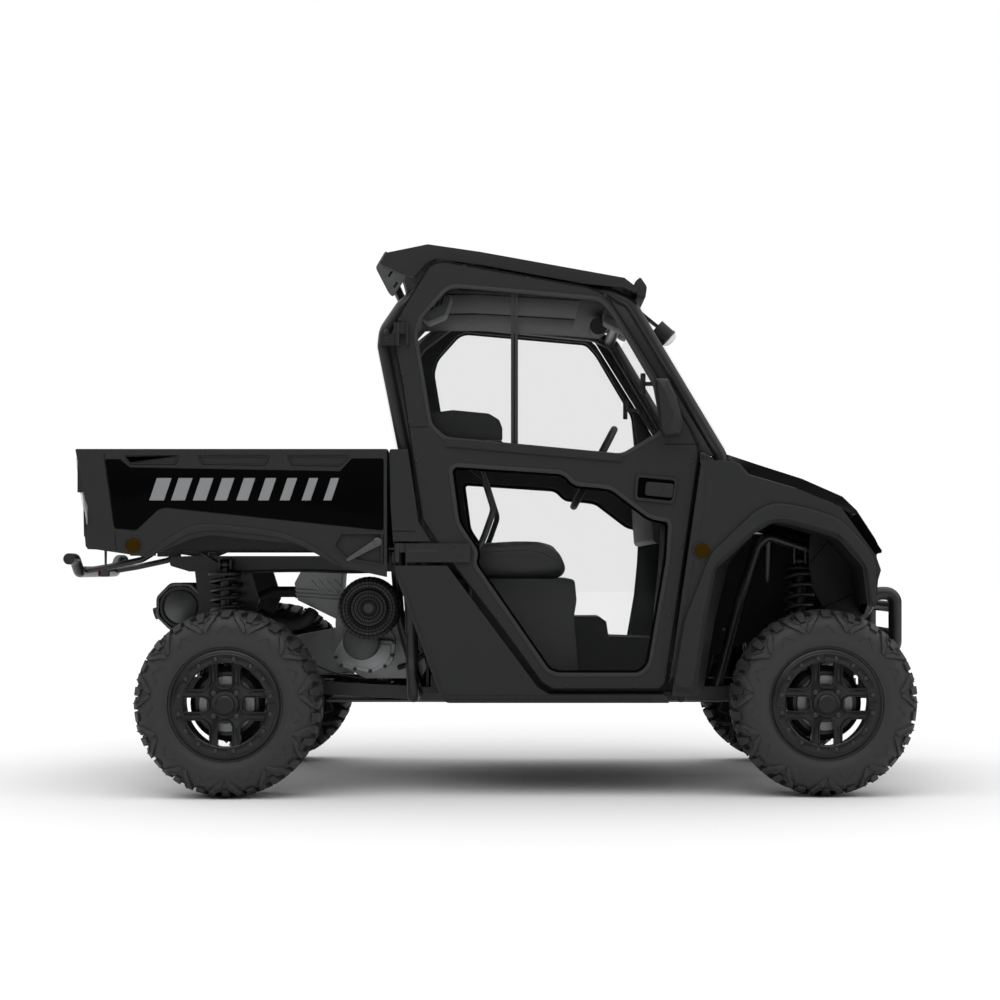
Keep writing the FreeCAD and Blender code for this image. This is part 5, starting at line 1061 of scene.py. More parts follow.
def headlamp():
    """Right headlamp: dark housing, two reflectors, a light strip and a clear cover."""
    high, low, back_low, back_high = [Vector(point) for point in HEADLAMP]
    along = (low - high).normalized()
    out = Vector((-along.y, along.x))
    outline = [tuple(high - out * 0.006), tuple(low - out * 0.006), tuple(back_low), tuple(back_high)]
    parts = [plate(outline, HEADLAMP_Y[0], HEADLAMP_Y[1], "gloss", (), 0.0012)]
    for y in HEADLAMP_Y:
        parts.append(plate(inset_outline(HEADLAMP, -0.0006), y - 0.0012, y + 0.0012, "gloss"))
    cover = [tuple(high), tuple(low), tuple(low - out * 0.0025), tuple(high - out * 0.0025)]
    parts.append(plate(cover, HEADLAMP_Y[0], HEADLAMP_Y[1], "lens"))
    for y in (-0.690, -0.634):
        middle = high.lerp(low, 0.40) - out * 0.0105
        parts += lamp_bowl(0.022, 0.007, (middle.x, y, middle.y), (out.x, 0, out.y))
    strip = high.lerp(low, 0.80) - out * 0.0055
    strip_end = high.lerp(low, 0.88) - out * 0.0055
    bar = [tuple(strip), tuple(strip_end), tuple(strip_end + out * 0.002), tuple(strip + out * 0.002)]
    parts.append(plate(bar, -0.706, -0.616, "mirror"))
    parts += round_marker((0.730, -0.740, 0.843), "amber")
    return parts


def tail_lamp():
    """Right tail lamp: clear outer lens over a red inner one, with the round side marker."""
    y0, y1 = TAIL_LENS_Y
    shape = rounded_outline(TAIL_LENS, 0.006)
    parts = [
        plate(shape, y0, y1, "lens", (), 0.0015),
        plate(inset_outline(TAIL_LENS, 0.003), y1, y1 + 0.030, "red", (), 0.0012),
    ]
    parts += round_marker((-1.205, -0.745, 0.860), "amber")
    return parts


def plate_lamp():
    """Small lamp that hangs from the bed's right rear corner."""
    hanger = [(-1.306, 0.862), (-1.297, 0.862), (-1.298, 0.772), (-1.305, 0.772)]
    parts = [
        plate(hanger, -0.7295, -0.7255, "coat", (), 0.0006),
        block((-1.318, -0.738, 0.752), (-1.290, -0.712, 0.775), "grip", 0.003),
        block((-1.3262, -0.736, 0.754), (-1.3175, -0.714, 0.773), "red", 0.002),
    ]
    return parts


def roof_lamp():
    """Clear dome and dark ring of the round lamp under the roof's front."""
    way = Vector((0.74, 0, -0.673))
    dome = [(0, -0.022), (0.012, -0.0205), (0.022, -0.016), (0.029, -0.009), (0.031, 0), (0, 0)]
    ring = [(0.031, -0.004), (0.0345, -0.003), (0.0345, 0.006), (0.031, 0.006)]
    place = (0.6475, -0.300, 1.6125)
    parts = [
        turned_to(lathe(dome, 40, "lens", closed=False), way, place),
        turned_to(lathe(ring, 40, "steel"), way, place),
    ]
    return parts


class UTV_OT_lamps(bpy.types.Operator):
    """Build the headlamps, tail lamps, side markers and roof lamps"""

    bl_idname = "utv.lamps"
    bl_label = "Lamps"

    def execute(self, context):
        both(headlamp, "headlamp", "chassis", "front_lamps")
        both(tail_lamp, "tail_lamp", "bed", "tail_lamps")
        both(roof_lamp, "roof_lamp", "chassis")
        single(plate_lamp, "plate_lamp", "bed")
        return {"FINISHED"}


# Door furniture

DOOR_SCREWS = ((-0.080, 1.810), (0.138, 1.769), (0.402, 1.711), (-0.227, 1.735), (-0.288, 1.445),
               (-0.265, 1.281), (-0.241, 1.148), (0.036, 0.615), (0.272, 0.379), (0.504, 0.379),
               (0.620, 0.622), (0.661, 0.857), (0.702, 1.147), (-0.299, 1.631), (-0.300, 1.528))
HINGE_BOLTS = ((-0.343, 1.585), (-0.343, 1.561))
STRAP_BOLTS = ((-0.119, 0.856), (-0.080, 0.856), (-0.091, 0.824))
LATCH = [(0.507, 1.103), (0.651, 1.089), (0.637, 1.000), (0.500, 1.014)]
PADDLE = [(0.541, 1.077), (0.637, 1.069), (0.630, 1.021), (0.536, 1.030)]
MIRROR = [(0.568, 1.425), (0.612, 1.425), (0.639, 1.367), (0.663, 1.283), (0.653, 1.232), (0.602, 1.222),
          (0.585, 1.249)]
MIRROR_RIDGE = ((0.598, 1.385), (0.632, 1.300), (0.618, 1.255))


def screw_head(radius, height):
    """A low domed screw head with a twelve-sided socket, about the Z axis."""
    sides = 12
    rings = ((0.46, 0.35), (0.46, 1.0), (0.80, 0.94), (1.0, 0.45), (1.0, -0.2))
    points = [(0, 0, 0.35 * height)]
    for part, level in rings:
        for k in range(sides):
            angle = 2 * math.pi * k / sides
            points.append((radius * part * math.cos(angle), radius * part * math.sin(angle), height * level))
    faces = [(0, 1 + k, 1 + (k + 1) % sides) for k in range(sides)]
    for ring in range(len(rings) - 1):
        a, b = 1 + ring * sides, 1 + (ring + 1) * sides
        faces += [(a + k, a + (k + 1) % sides, b + (k + 1) % sides, b + k) for k in range(sides)]
    faces.append(tuple(1 + (len(rings) - 1) * sides + k for k in range(sides)))
    return new_piece(mesh_from(points, faces), "grip")


def side_screws(spots, y, radius, height, paint_name):
    """Screw heads that face outwards on the right side at (x, z) spots."""
    places = [((x, y, z), (0, -1, 0)) for x, z in spots]
    return copies_at(places, screw_head(radius, height), paint_name)


def seam_line(start, end, y, width=0.0022):
    """A thin dark joint between two panels."""
    a, b = Vector(start), Vector(end)
    off = Vector((-(b - a).normalized().y, (b - a).normalized().x)) * width / 2
    outline = [tuple(a + off), tuple(b + off), tuple(b - off), tuple(a - off)]
    return plate(outline, y + 0.001, y - 0.0003, "gloss")


def latch_set():
    """Latch frame, its dished plate and the paddle handle."""
    y = -DOOR_Y
    rim = rounded_outline(LATCH, 0.014, 5)
    dish = rounded_outline(inset_outline(LATCH, 0.010), 0.010, 5)
    paddle = rounded_outline(PADDLE, 0.010, 5)
    return [
        plate(rim, y, y - 0.0085, "plastic", (dish,), 0.0022),
        plate(dish, y, y - 0.0030, "gloss"),
        plate(paddle, y - 0.0020, y - 0.0135, "plastic", (), 0.0030),
        lathe([(0.0052, -0.0008), (0.0075, -0.0008), (0.0080, 0.0010), (0.0052, 0.0010)], 28, "steel",
              (0.598, y - 0.0135, 1.050)),
    ]


def mirror_set():
    """Mirror with a faceted shell and a rim, and its foot and arm."""
    rings = ((-0.7425, 0.006), (-0.7480, 0.001), (-0.7700, 0.000), (-0.7880, 0.008))
    points, faces = [], []
    count = len(MIRROR)
    for y, distance in rings:
        points += [(x, y, z) for x, z in inset_outline(MIRROR, distance)]
    for ring in range(len(rings) - 1):
        a, b = ring * count, (ring + 1) * count
        faces += [(a + k, a + (k + 1) % count, b + (k + 1) % count, b + k) for k in range(count)]
    faces.append(tuple(range(count)))
    last = (len(rings) - 1) * count
    top, middle, low = len(points), len(points) + 1, len(points) + 2
    points += [(x, -0.8015, z) for x, z in MIRROR_RIDGE]
    fan = ((0, 1, top), (1, 2, middle, top), (2, 3, middle), (3, 4, low, middle), (4, 5, low),
           (5, 6, middle, low), (6, 0, top, middle))
    for face in fan:
        faces.append(tuple(last + k if k < count else k for k in face))
    shell = new_piece(mesh_from(points, faces), "plastic")
    arm = tube([(0.640, -0.720, 1.262), (0.640, -0.735, 1.266), (0.630, -0.748, 1.290)], 0.0115, "plastic",
               3, 16)
    foot = lathe([(0, -0.0082), (0.018, -0.0080), (0.0232, -0.0050), (0.024, 0), (0, 0)], 36, "plastic",
                 (0.640, -DOOR_Y, 1.262), closed=False)
    nuts = [lathe([(0, -0.0105), (0.0035, -0.0105), (0.004, -0.0070), (0, -0.0070)], 6, "steel",
                  (0.640 + dx, -DOOR_Y, 1.262 + dz), closed=False)
            for dx, dz in ((0.012, 0.006), (-0.012, 0.006), (0, -0.014))]
    return [bevelled(shell, 0.0022, 2, 14), arm, foot, *nuts]


def door_furniture():
    """Latch, mirror, screws and joints of the right door."""
    parts = latch_set() + mirror_set()
    parts.append(side_screws(DOOR_SCREWS, -DOOR_Y, 0.0068, 0.0034, "grip"))
    parts.append(side_screws(STRAP_BOLTS, -DOOR_Y - 0.012, 0.0085, 0.0055, "steel"))
    slot = rounded_outline([(-0.270, 0.847), (-0.166, 0.847), (-0.166, 0.838), (-0.270, 0.838)], 0.004)
    parts.append(plate(slot, -DOOR_Y - 0.0115, -DOOR_Y - 0.0145, "coat", (), 0.0010))
    for start, end in (((-0.269, 1.2636), (-0.203, 1.2636)), ((0.606, 1.2047), (0.722, 1.2047))):
        parts.append(seam_line(start, end, -DOOR_Y))
    return parts


def hinge_furniture():
    """Bolts of the upper hinge plate and the joints of the rear quarter panel."""
    parts = [side_screws(HINGE_BOLTS, -0.7375, 0.0085, 0.0050, "steel")]
    for z in (0.907, 0.794):
        parts.append(seam_line((-0.328, z), (-0.245 if z > 0.9 else -0.306, z), -0.735))
    return parts


class UTV_OT_door_furniture(bpy.types.Operator):
    """Build the door latches, mirrors, screws and joints"""

    bl_idname = "utv.door_furniture"
    bl_label = "Door furniture"

    def execute(self, context):
        both(door_furniture, "door_furniture", "door_{}", "door_fittings_{}")
        both(hinge_furniture, "hinge_bolts", "chassis")
        return {"FINISHED"}


# Bodywork details

VISOR = [(-0.385, 1.813), (-0.350, 1.872), (-0.271, 1.792), (-0.326, 1.712), (-0.340, 1.726)]
VISOR_SLOTS = ((-0.3355, 1.789), (-0.317, 1.7515))
ROOF_LIP = [(0.503, 1.762), (0.524, 1.781), (0.547, 1.747), (0.541, 1.706), (0.511, 1.719)]
ARCH_BAND = ([(-1.158, 0.829), (-1.088, 0.883), (-1.028, 0.917), (-0.977, 0.932), (-0.901, 0.930),
              (-0.773, 0.915), (-0.688, 0.900), (-0.616, 0.871), (-0.561, 0.837), (-0.500, 0.793)],
             [(-0.516, 0.790), (-0.578, 0.828), (-0.637, 0.859), (-0.705, 0.883), (-0.782, 0.896),
              (-0.901, 0.908), (-0.969, 0.908), (-1.020, 0.896), (-1.079, 0.862), (-1.140, 0.824)])
LEVER_POCKET = [(-0.501, 0.904), (-0.356, 0.904), (-0.356, 0.790), (-0.484, 0.812), (-0.525, 0.857)]
SPLASH_OUTER = ((0.704, 0.348), (0.738, 0.603), (0.772, 0.782), (0.903, 0.904))
SPLASH_INNER = ((0.760, 0.348), (0.800, 0.600), (0.850, 0.800), (0.930, 0.890))
FLARE = [(0.632, 0.376), (0.670, 0.605), (0.746, 0.800), (0.765, 0.836), (0.860, 0.927), (0.918, 0.980),
         (0.975, 1.004), (1.036, 0.998), (1.120, 0.977), (1.190, 0.954), (1.245, 0.903), (1.294, 0.848),
         (1.320, 0.800), (1.320, 0.664), (1.304, 0.664), (1.290, 0.786), (1.246, 0.842), (1.199, 0.896),
         (1.130, 0.916), (1.062, 0.936), (0.979, 0.953), (0.900, 0.909), (0.767, 0.786), (0.733, 0.603),
         (0.700, 0.372)]
PILLAR_FOOT = [(0.725, 1.140), (0.775, 1.140), (0.770, 1.156), (0.738, 1.176), (0.725, 1.176)]
FENDER_FILL = [(0.622, 0.398), (0.640, 0.420), (0.744, 1.000), (0.744, 1.152), (0.733, 1.150),
               (0.732, 1.170), (0.6195, 0.392)]


def fender_flare():
    """Rounded lip over the right front wheel and the fender's edge beside the door."""
    lip = plate(rounded_outline(FLARE, 0.040, 6), -0.7420, -0.7545, "plastic")
    edge = plate(FENDER_FILL, -0.7395, -0.7290, "plastic", (), 0.0012)
    foot = plate(PILLAR_FOOT, -0.7300, -0.6500, "coat", (), 0.0020)
    return [bevelled(lip, 0.0065, 4, 40), edge, foot]


def roof_fittings():
    """Slotted side plate of the rear visor, and the roof's front lip on the right half."""
    roof_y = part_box("roof_panel")[0].y
    slots = []
    for x, z in VISOR_SLOTS:
        corners = [(x - 0.011, z - 0.010), (x - 0.005, z - 0.014), (x + 0.011, z + 0.010),
                   (x + 0.005, z + 0.014)]
        slots.append(rounded_outline(corners, 0.004))
    side = rounded_outline(VISOR, 0.010)
    parts = [plate(side, roof_y + 0.016, roof_y + 0.008, "visor", slots, 0.0020)]
    lip = rounded_outline(ROOF_LIP, 0.008)
    parts.append(plate(lip, roof_y + 0.004, -0.0002, "plastic", (), 0.0030))
    parts.append(plate([(-0.372, 1.832), (-0.352, 1.868), (-0.346, 1.862), (-0.360, 1.828)], roof_y + 0.016,
                       -0.0002, "plastic", (), 0.002))
    return parts


def bed_details():
    """Wheel arch band, lever pocket rim and corner joints on the bed's right side."""
    y = -BED_SKIN_Y
    upper, lower = ARCH_BAND
    parts = [plate(upper + lower, y + 0.002, y - 0.0046, "plastic", (), 0.0030)]
    parts.append(frame_strip(rounded_outline(LEVER_POCKET, 0.010), 0.006, y + 0.008, y - 0.0028, "plastic",
                             0.0016))
    parts.append(seam_line((-1.303, 1.171), (-1.303, 1.153), y))
    parts.append(seam_line((-1.268, 0.906), (-1.262, 0.842), y, 0.0018))
    return parts


LEVER_Y = -0.7425


def bed_lever():
    """Release lever with a flattened grip and its pivot boss."""
    bar = [(-0.482, 0.812), (-0.474, 0.803), (-0.392, 0.846), (-0.366, 0.858), (-0.362, 0.882),
           (-0.382, 0.880), (-0.404, 0.865)]
    parts = [plate(rounded_outline(bar, 0.008), LEVER_Y + 0.006, LEVER_Y - 0.006, "cover", (), 0.0038)]
    boss = [(0, -0.010), (0.010, -0.010), (0.015, -0.006), (0.016, 0.006), (0, 0.006)]
    parts.append(lathe(boss, 32, "cover", (-0.374, LEVER_Y, 0.870), closed=False))
    return parts


SPLASH_OUTER_Y = -0.731
SPLASH_INNER_Y = -0.470
SPLASH_THICKNESS = 0.004
LINER_Y = -0.292
GUARD_Y = -0.366


def splash_panel():
    """Slanted panel behind the front wheel, dark liner beside the shock and the guard before it."""
    points, faces = [], []
    for (ox, oz), (ix, iz) in zip(SPLASH_OUTER, SPLASH_INNER):
        points += [(ox, SPLASH_OUTER_Y, oz), (ix, SPLASH_INNER_Y, iz),
                   (ix - SPLASH_THICKNESS, SPLASH_INNER_Y, iz), (ox - SPLASH_THICKNESS, SPLASH_OUTER_Y, oz)]
    for k in range(len(SPLASH_OUTER) - 1):
        a, b = 4 * k, 4 * k + 4
        faces += [(a + j, a + (j + 1) % 4, b + (j + 1) % 4, b + j) for j in range(4)]
    last = 4 * (len(SPLASH_OUTER) - 1)
    faces += [(0, 1, 2, 3), (last, last + 1, last + 2, last + 3)]
    parts = [new_piece(mesh_from(points, faces), "plastic")]
    liner = [(0.800, 0.460), (0.830, 0.880), (0.930, 0.905), (1.070, 0.905), (1.190, 0.880), (1.262, 0.800),
             (1.285, 0.640), (1.250, 0.560), (1.150, 0.540), (1.000, 0.540), (0.900, 0.500)]
    notch = rounded_outline([(1.155, 0.660), (1.215, 0.660), (1.215, 0.720), (1.155, 0.720)], 0.028, 6)
    parts.append(plate(rounded_outline(liner, 0.020), LINER_Y, LINER_Y + 0.004, "seal", (notch,), 0.0012))
    bolts = ((0.860, 0.840), (1.000, 0.870), (1.180, 0.840), (1.250, 0.700), (0.850, 0.560), (1.180, 0.580))
    parts.append(side_screws(bolts, LINER_Y, 0.008, 0.004, "steel"))
    guard = [(1.150, 0.905), (1.146, 0.800), (1.160, 0.710), (1.196, 0.640), (1.250, 0.606), (1.330, 0.606),
             (1.334, 0.740), (1.315, 0.800), (1.262, 0.866), (1.205, 0.900)]
    parts.append(plate(rounded_outline(guard, 0.015), GUARD_Y, GUARD_Y + 0.006, "plastic", (), 0.0020))
    for line in (((1.196, 0.640), (1.330, 0.700)), ((1.150, 0.800), (1.225, 0.890))):
        parts.append(seam_line(line[0], line[1], GUARD_Y, 0.003))
    return parts


class UTV_OT_bodywork(bpy.types.Operator):
    """Build the roof fittings, bed details, levers and splash panels"""

    bl_idname = "utv.bodywork"
    bl_label = "Bodywork details"

    def execute(self, context):
        both(roof_fittings, "roof_fittings", "chassis")
        both(bed_details, "bed_details", "bed")
        both(bed_lever, "bed_lever", "bed", "bed_levers")
        both(fender_flare, "fender_flare", "chassis")
        both(splash_panel, "splash_panel", "chassis")
        return {"FINISHED"}


# Inside of the cab

CEILING = [(-0.318, 1.690), (-0.272, 1.740), (-0.060, 1.743), (0.300, 1.722), (0.438, 1.708)]


def headliner():
    """Moulded ceiling under the roof with two raised panels."""
    top = [(x, z + 0.008) for x, z in CEILING]
    parts = [plate(CEILING + top[::-1], -0.600, 0.600, "liner", (), 0.002)]
    low = [(x + 0.020, z - 0.005) for x, z in CEILING[1:-1]]
    panel = low + [(x + 0.012, z + 0.004) for x, z in CEILING[1:-1]][::-1]
    for y0, y1 in ((-0.540, -0.020), (0.020, 0.540)):
        parts.append(bevelled(plate(panel, y0, y1, "liner"), 0.004, 4))
    return parts


REAR_JAMB = [(-0.354, 1.604), (-0.306, 1.660), (-0.285, 1.440), (-0.240, 1.180), (-0.287, 1.180),
             (-0.354, 1.545)]
FRONT_JAMB = [(0.418, 1.700), (0.484, 1.706), (0.806, 1.172), (0.722, 1.160), (0.716, 1.202), (0.684, 1.270)]
KICK_JAMB = [(0.556, 0.470), (0.618, 0.480), (0.640, 0.420), (0.690, 0.900), (0.660, 0.950), (0.596, 0.950),
             (0.588, 0.800)]


def door_jambs():
    """Flanges on the cab tubes that the right door closes against."""
    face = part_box("cab_frame")[0].y + 0.010
    parts = [plate(line, face, face + 0.006, "coat", (), 0.0015)
             for line in (REAR_JAMB, FRONT_JAMB, KICK_JAMB)]
    return parts


def cab_fittings():
    """Rear vent box with ribs, front control box and the screen's T handles."""
    shell = rounded_outline([(-0.262, 1.690), (-0.176, 1.736), (-0.126, 1.736), (-0.150, 1.668),
                             (-0.214, 1.640)], 0.010)
    parts = [plate(shell, -0.560, -0.400, "visor", (), 0.004)]
    for k in range(5):
        x = -0.232 + 0.016 * k
        z = 1.664 + 0.0086 * k
        parts.append(plate([(x, z), (x + 0.006, z + 0.003), (x + 0.018, z + 0.046), (x + 0.012, z + 0.043)],
                           -0.5600, -0.5640, "seal", (), 0.0008))
    box_line = rounded_outline([(0.405, 1.690), (0.500, 1.640), (0.486, 1.604), (0.405, 1.646)], 0.008)
    parts.append(plate(box_line, -0.540, -0.400, "visor", (), 0.003))
    parts.append(seam_line((0.412, 1.668), (0.492, 1.622), -0.540))
    for y0, y1 in ((-0.606, -0.592), (0.592, 0.606)):
        parts.append(plate([(0.529, 1.384), (0.547, 1.384), (0.547, 1.458), (0.529, 1.458)], y0, y1, "grip",
                           (), 0.003))
        parts.append(block((0.540, y0 + 0.002, 1.414), (0.592, y1 - 0.002, 1.428), "grip", 0.002))
    return parts


class UTV_OT_cab_inside(bpy.types.Operator):
    """Build the ceiling and the small fittings inside the cab"""

    bl_idname = "utv.cab_inside"
    bl_label = "Cab inside"

    def execute(self, context):
        both(door_jambs, "door_jambs", "chassis")
        single(headliner, "headliner", "chassis")
        single(cab_fittings, "cab_fittings", "chassis")
        return {"FINISHED"}


# Engine bay and running gear

FAN = (-0.424, 0.640)
FAN_BACK_Y = -0.3723


def fan_cover():
    """Domed cover of the belt drive with rings, spokes and ribs, and the low cover beneath it."""
    y = -0.452
    dome = [(0, y - 0.016), (0.016, y - 0.016), (0.018, y - 0.013), (0.058, y - 0.013), (0.066, y - 0.006),
            (0.074, y - 0.016), (0.086, y - 0.018), (0.097, y - 0.010), (0.103, y + 0.006),
            (0.105, y + 0.030), (0.105, y + 0.046), (0.097, y + 0.050), (0.097, FAN_BACK_Y), (0, FAN_BACK_Y)]
    parts = [lathe(dome, 72, "cover", closed=False, smooth=40)]
    for radius, width in ((0.026, 0.0016), (0.037, 0.0016), (0.050, 0.0016), (0.062, 0.002),
                          (0.080, 0.0016), (0.093, 0.0016)):
        face = y - 0.0150 if radius < 0.06 else y - 0.0195 + (radius - 0.080) ** 2 * 22
        loop = [(radius - width, face + 0.004), (radius - width, face - 0.0005),
                (radius + width, face - 0.0005), (radius + width, face + 0.004)]
        parts.append(lathe(loop, 64, "seal", smooth=30))
    spoke = block((-0.0009, y - 0.0153, 0.018), (0.0009, y - 0.009, 0.064), "seal", 0.0004, 1)
    parts.append(copies_around(spoke, 36, "seal"))
    parts.append(copies_around(fan_rib(y), 40, "seal"))
    for part in parts:
        part.data.transform(Matrix.Diagonal((1.06, 1, 1.06, 1)))
        moved(part, (FAN[0], 0, FAN[1]))
    low = [(0, -0.430), (0.050, -0.430), (0.062, -0.424), (0.066, -0.412), (0.066, FAN_BACK_Y),
           (0, FAN_BACK_Y)]
    parts.append(lathe(low, 40, "cover", (FAN[0] - 0.030, 0, 0.520), closed=False, smooth=40))
    drain = block((FAN[0] + 0.006, -0.425, 0.515), (FAN[0] + 0.016, -0.415, 0.535), "steel", 0.001, 1)
    parts.append(drain)
    return parts


def fan_rib(y):
    """One thin rib over the shoulder of the fan cover."""
    outer = [(0.0665, y - 0.0085), (0.074, y - 0.0178), (0.086, y - 0.0198), (0.0985, y - 0.0115),
             (0.1048, y + 0.006), (0.1060, y + 0.044)]
    points, faces = [], []
    for radius, along in outer:
        for across in (-0.0009, 0.0009):
            points.append((across, along, radius))
            points.append((across, along + 0.003, radius - 0.003))
    for k in range(len(outer) - 1):
        a = 4 * k
        faces += [(a, a + 2, a + 6, a + 4), (a + 1, a + 5, a + 7, a + 3), (a, a + 4, a + 5, a + 1),
                  (a + 2, a + 3, a + 7, a + 6)]
    last = 4 * (len(outer) - 1)
    faces += [(0, 1, 3, 2), (last, last + 2, last + 3, last + 1)]
    return new_piece(mesh_from(points, faces), "seal")


def octagon(cx, cz, flat):
    """Corners of an octagon with a distance from its middle to its flats."""
    reach = flat / math.cos(math.radians(22.5))
    return [(cx + reach * math.cos(math.radians(22.5 + 45 * k)),
             cz + reach * math.sin(math.radians(22.5 + 45 * k))) for k in range(8)]


def muffler_end():
    """The pale rolled rim and the round plate on the silencer's end."""
    cx, cz = -1.112, 0.642
    outer = rounded_outline(octagon(cx, cz, 0.0872), 0.014)
    inner = rounded_outline(octagon(cx, cz, 0.0760), 0.012)
    parts = [plate(outer, -0.300, -0.333, "plate", (inner,), 0.003)]
    disc = [(0, -0.327), (0.056, -0.327), (0.060, -0.3245), (0.061, -0.316), (0, -0.316)]
    parts.append(lathe(disc, 64, "plate", (cx, 0, cz), closed=False, smooth=40))
    return parts


HOSES = ((0.0045, [(-1.030, -0.372, 0.835), (-0.990, -0.372, 0.812), (-0.940, -0.370, 0.775),
                   (-0.900, -0.368, 0.765), (-0.800, -0.366, 0.770), (-0.640, -0.366, 0.772),
                   (-0.480, -0.366, 0.764), (-0.380, -0.366, 0.770)]),
         (0.024, [(-0.840, -0.200, 0.610), (-0.790, -0.245, 0.592), (-0.740, -0.270, 0.578),
                  (-0.690, -0.285, 0.580), (-0.655, -0.285, 0.598), (-0.640, -0.270, 0.625)]),
         (0.013, [(-0.262, -0.285, 0.470), (-0.290, -0.300, 0.520), (-0.255, -0.305, 0.556),
                  (-0.215, -0.290, 0.540), (-0.200, -0.270, 0.500)]),
         (0.009, [(-0.330, -0.275, 0.420), (-0.290, -0.292, 0.432), (-0.245, -0.292, 0.462),
                  (-0.215, -0.275, 0.480)]),
         (0.003, [(-0.760, -0.300, 0.470), (-0.700, -0.330, 0.462), (-0.620, -0.340, 0.430),
                  (-0.540, -0.330, 0.395), (-0.450, -0.310, 0.384)]))


def hose_set():
    """Hoses and lines beside the engine."""
    return [tube(points, radius, "grip") for radius, points in HOSES]


CRANKCASE = [(-0.560, 0.470), (-0.540, 0.430), (-0.420, 0.405), (-0.345, 0.440), (-0.330, 0.520),
             (-0.520, 0.540)]
HEAD_RIBS = (-0.640, -0.612, -0.584, -0.556)
CASE_BOLTS = ((-0.548, 0.462), (-0.530, 0.432), (-0.480, 0.420), (-0.425, 0.412), (-0.372, 0.430),
              (-0.346, 0.470), (-0.340, 0.515))


def engine_details():
    """Crankcase cover, casting ribs and bolts on the engine's right side."""
    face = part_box("engine")[0].y
    parts = [plate(rounded_outline(CRANKCASE, 0.018), face - 0.004, face + 0.012, "casting", (), 0.004)]
    rim = inset_outline(CRANKCASE, 0.014)
    parts.append(plate(rounded_outline(rim, 0.014), face - 0.009, face - 0.002, "casting", (), 0.003))
    for x in HEAD_RIBS:
        rib = [(x, 0.740), (x + 0.006, 0.740), (x + 0.046, 0.690), (x + 0.040, 0.690)]
        parts.append(plate(rib, face - 0.004, face + 0.006, "casting", (), 0.0015))
    parts.append(side_screws(CASE_BOLTS, face - 0.004, 0.007, 0.006, "steel"))
    return parts


class UTV_OT_engine_bay(bpy.types.Operator):
    """Build the fan cover, the silencer's end and the hoses"""

    bl_idname = "utv.engine_bay"
    bl_label = "Engine bay"

    def execute(self, context):
        single(fan_cover, "belt_cover", "chassis", "drive_cover")
        single(muffler_end, "silencer_end", "chassis")
        single(hose_set, "bay_hoses", "chassis")
        single(engine_details, "engine_details", "chassis")
        return {"FINISHED"}


# Seats

CUSHION_VOXEL = 0.009
CUSHION_PRESSURE = 4.0
CUSHION_SWELL = 0.010
CLOTH_STEPS = 20
PIPING_Y = 0.584


def cushion_form(name, low, high, crown):
    """A closed pillow between two corners whose faces swell by the crown."""
    shape = bmesh.new()
    bmesh.ops.create_cube(shape, size=2)
    bmesh.ops.subdivide_edges(shape, edges=shape.edges, cuts=14, use_grid_fill=True)
    centre = [(low[k] + high[k]) / 2 for k in range(3)]
    half = [(high[k] - low[k]) / 2 for k in range(3)]
    for vert in shape.verts:
        x, y, z = vert.co
        spread_x = math.sqrt(max(0.0, 1 - 0.13 * (y * y + z * z)))
        spread_y = math.sqrt(max(0.0, 1 - 0.13 * (x * x + z * z)))
        spread_z = math.sqrt(max(0.0, 1 - 0.30 * (x * x + y * y) / 2))
        vert.co = (centre[0] + x * half[0] * spread_x, centre[1] + y * half[1] * spread_y,
                   centre[2] + z * (half[2] - crown * (1 - spread_z)))
    mesh = bpy.data.meshes.new(name)
    shape.to_mesh(mesh)
    shape.free()
    return new_piece(mesh, "vinyl", 180, name)


def puffed(piece, voxel, cap):
    """Lets a cushion swell as stuffed cloth, each point by no more than the cap."""
    remesh = piece.modifiers.new("voxels", "REMESH")
    remesh.mode = "VOXEL"
    remesh.voxel_size = voxel
    settle(piece)
    start = [vert.co.copy() for vert in piece.data.vertices]
    cloth = piece.modifiers.new("cloth", "CLOTH")
    cloth.settings.use_pressure = True
    cloth.settings.uniform_pressure_force = CUSHION_PRESSURE
    cloth.settings.effector_weights.gravity = 0
    cloth.settings.quality = 4
    scene = bpy.context.scene
    for step in range(1, CLOTH_STEPS + 1):
        scene.frame_set(step)
    settle(piece)
    for vert, origin in zip(piece.data.vertices, start):
        shift = vert.co - origin
        if shift.length > cap:
            vert.co = origin + shift.normalized() * cap
    scene.frame_set(1)
    piece.data.shade_smooth()
    return piece


SEAT_HEIGHTS = ((0, 0.080), (0.27, 0.110), (0.62, 0.119), (0.78, 0.118), (0.90, 0.104), (1, 0.060))
SEAT_PIPING = [(-0.190, 0.812), (-0.100, 0.832), (0.060, 0.843), (0.150, 0.845), (0.205, 0.832),
               (0.240, 0.806)]
BACK_PIPING = [(-0.214, 0.860), (-0.222, 1.000), (-0.230, 1.200), (-0.240, 1.300)]


def seat_height(part):
    """Thickness of the seat cushion at a part of its length from the rear."""
    for (a, low), (b, high) in zip(SEAT_HEIGHTS, SEAT_HEIGHTS[1:]):
        if part <= b:
            return low + (high - low) * (part - a) / (b - a)
    return SEAT_HEIGHTS[-1][1]


def sloped(pad, low, high):
    """Gives the seat cushion its rise towards the front and its dropped nose."""
    tall = high[2] - low[2]
    for vert in pad.data.vertices:
        part = min(1, max(0, (vert.co.x - low[0]) / (high[0] - low[0])))
        vert.co.z = low[2] + (vert.co.z - low[2]) * seat_height(part) / tall
    return pad


def piping(y):
    """Sewn piping along the outer side of one seat and its back."""
    lines = (SEAT_PIPING, BACK_PIPING)
    return [tube([(x, y, z) for x, z in line], 0.0030, "grip", sides=8) for line in lines]


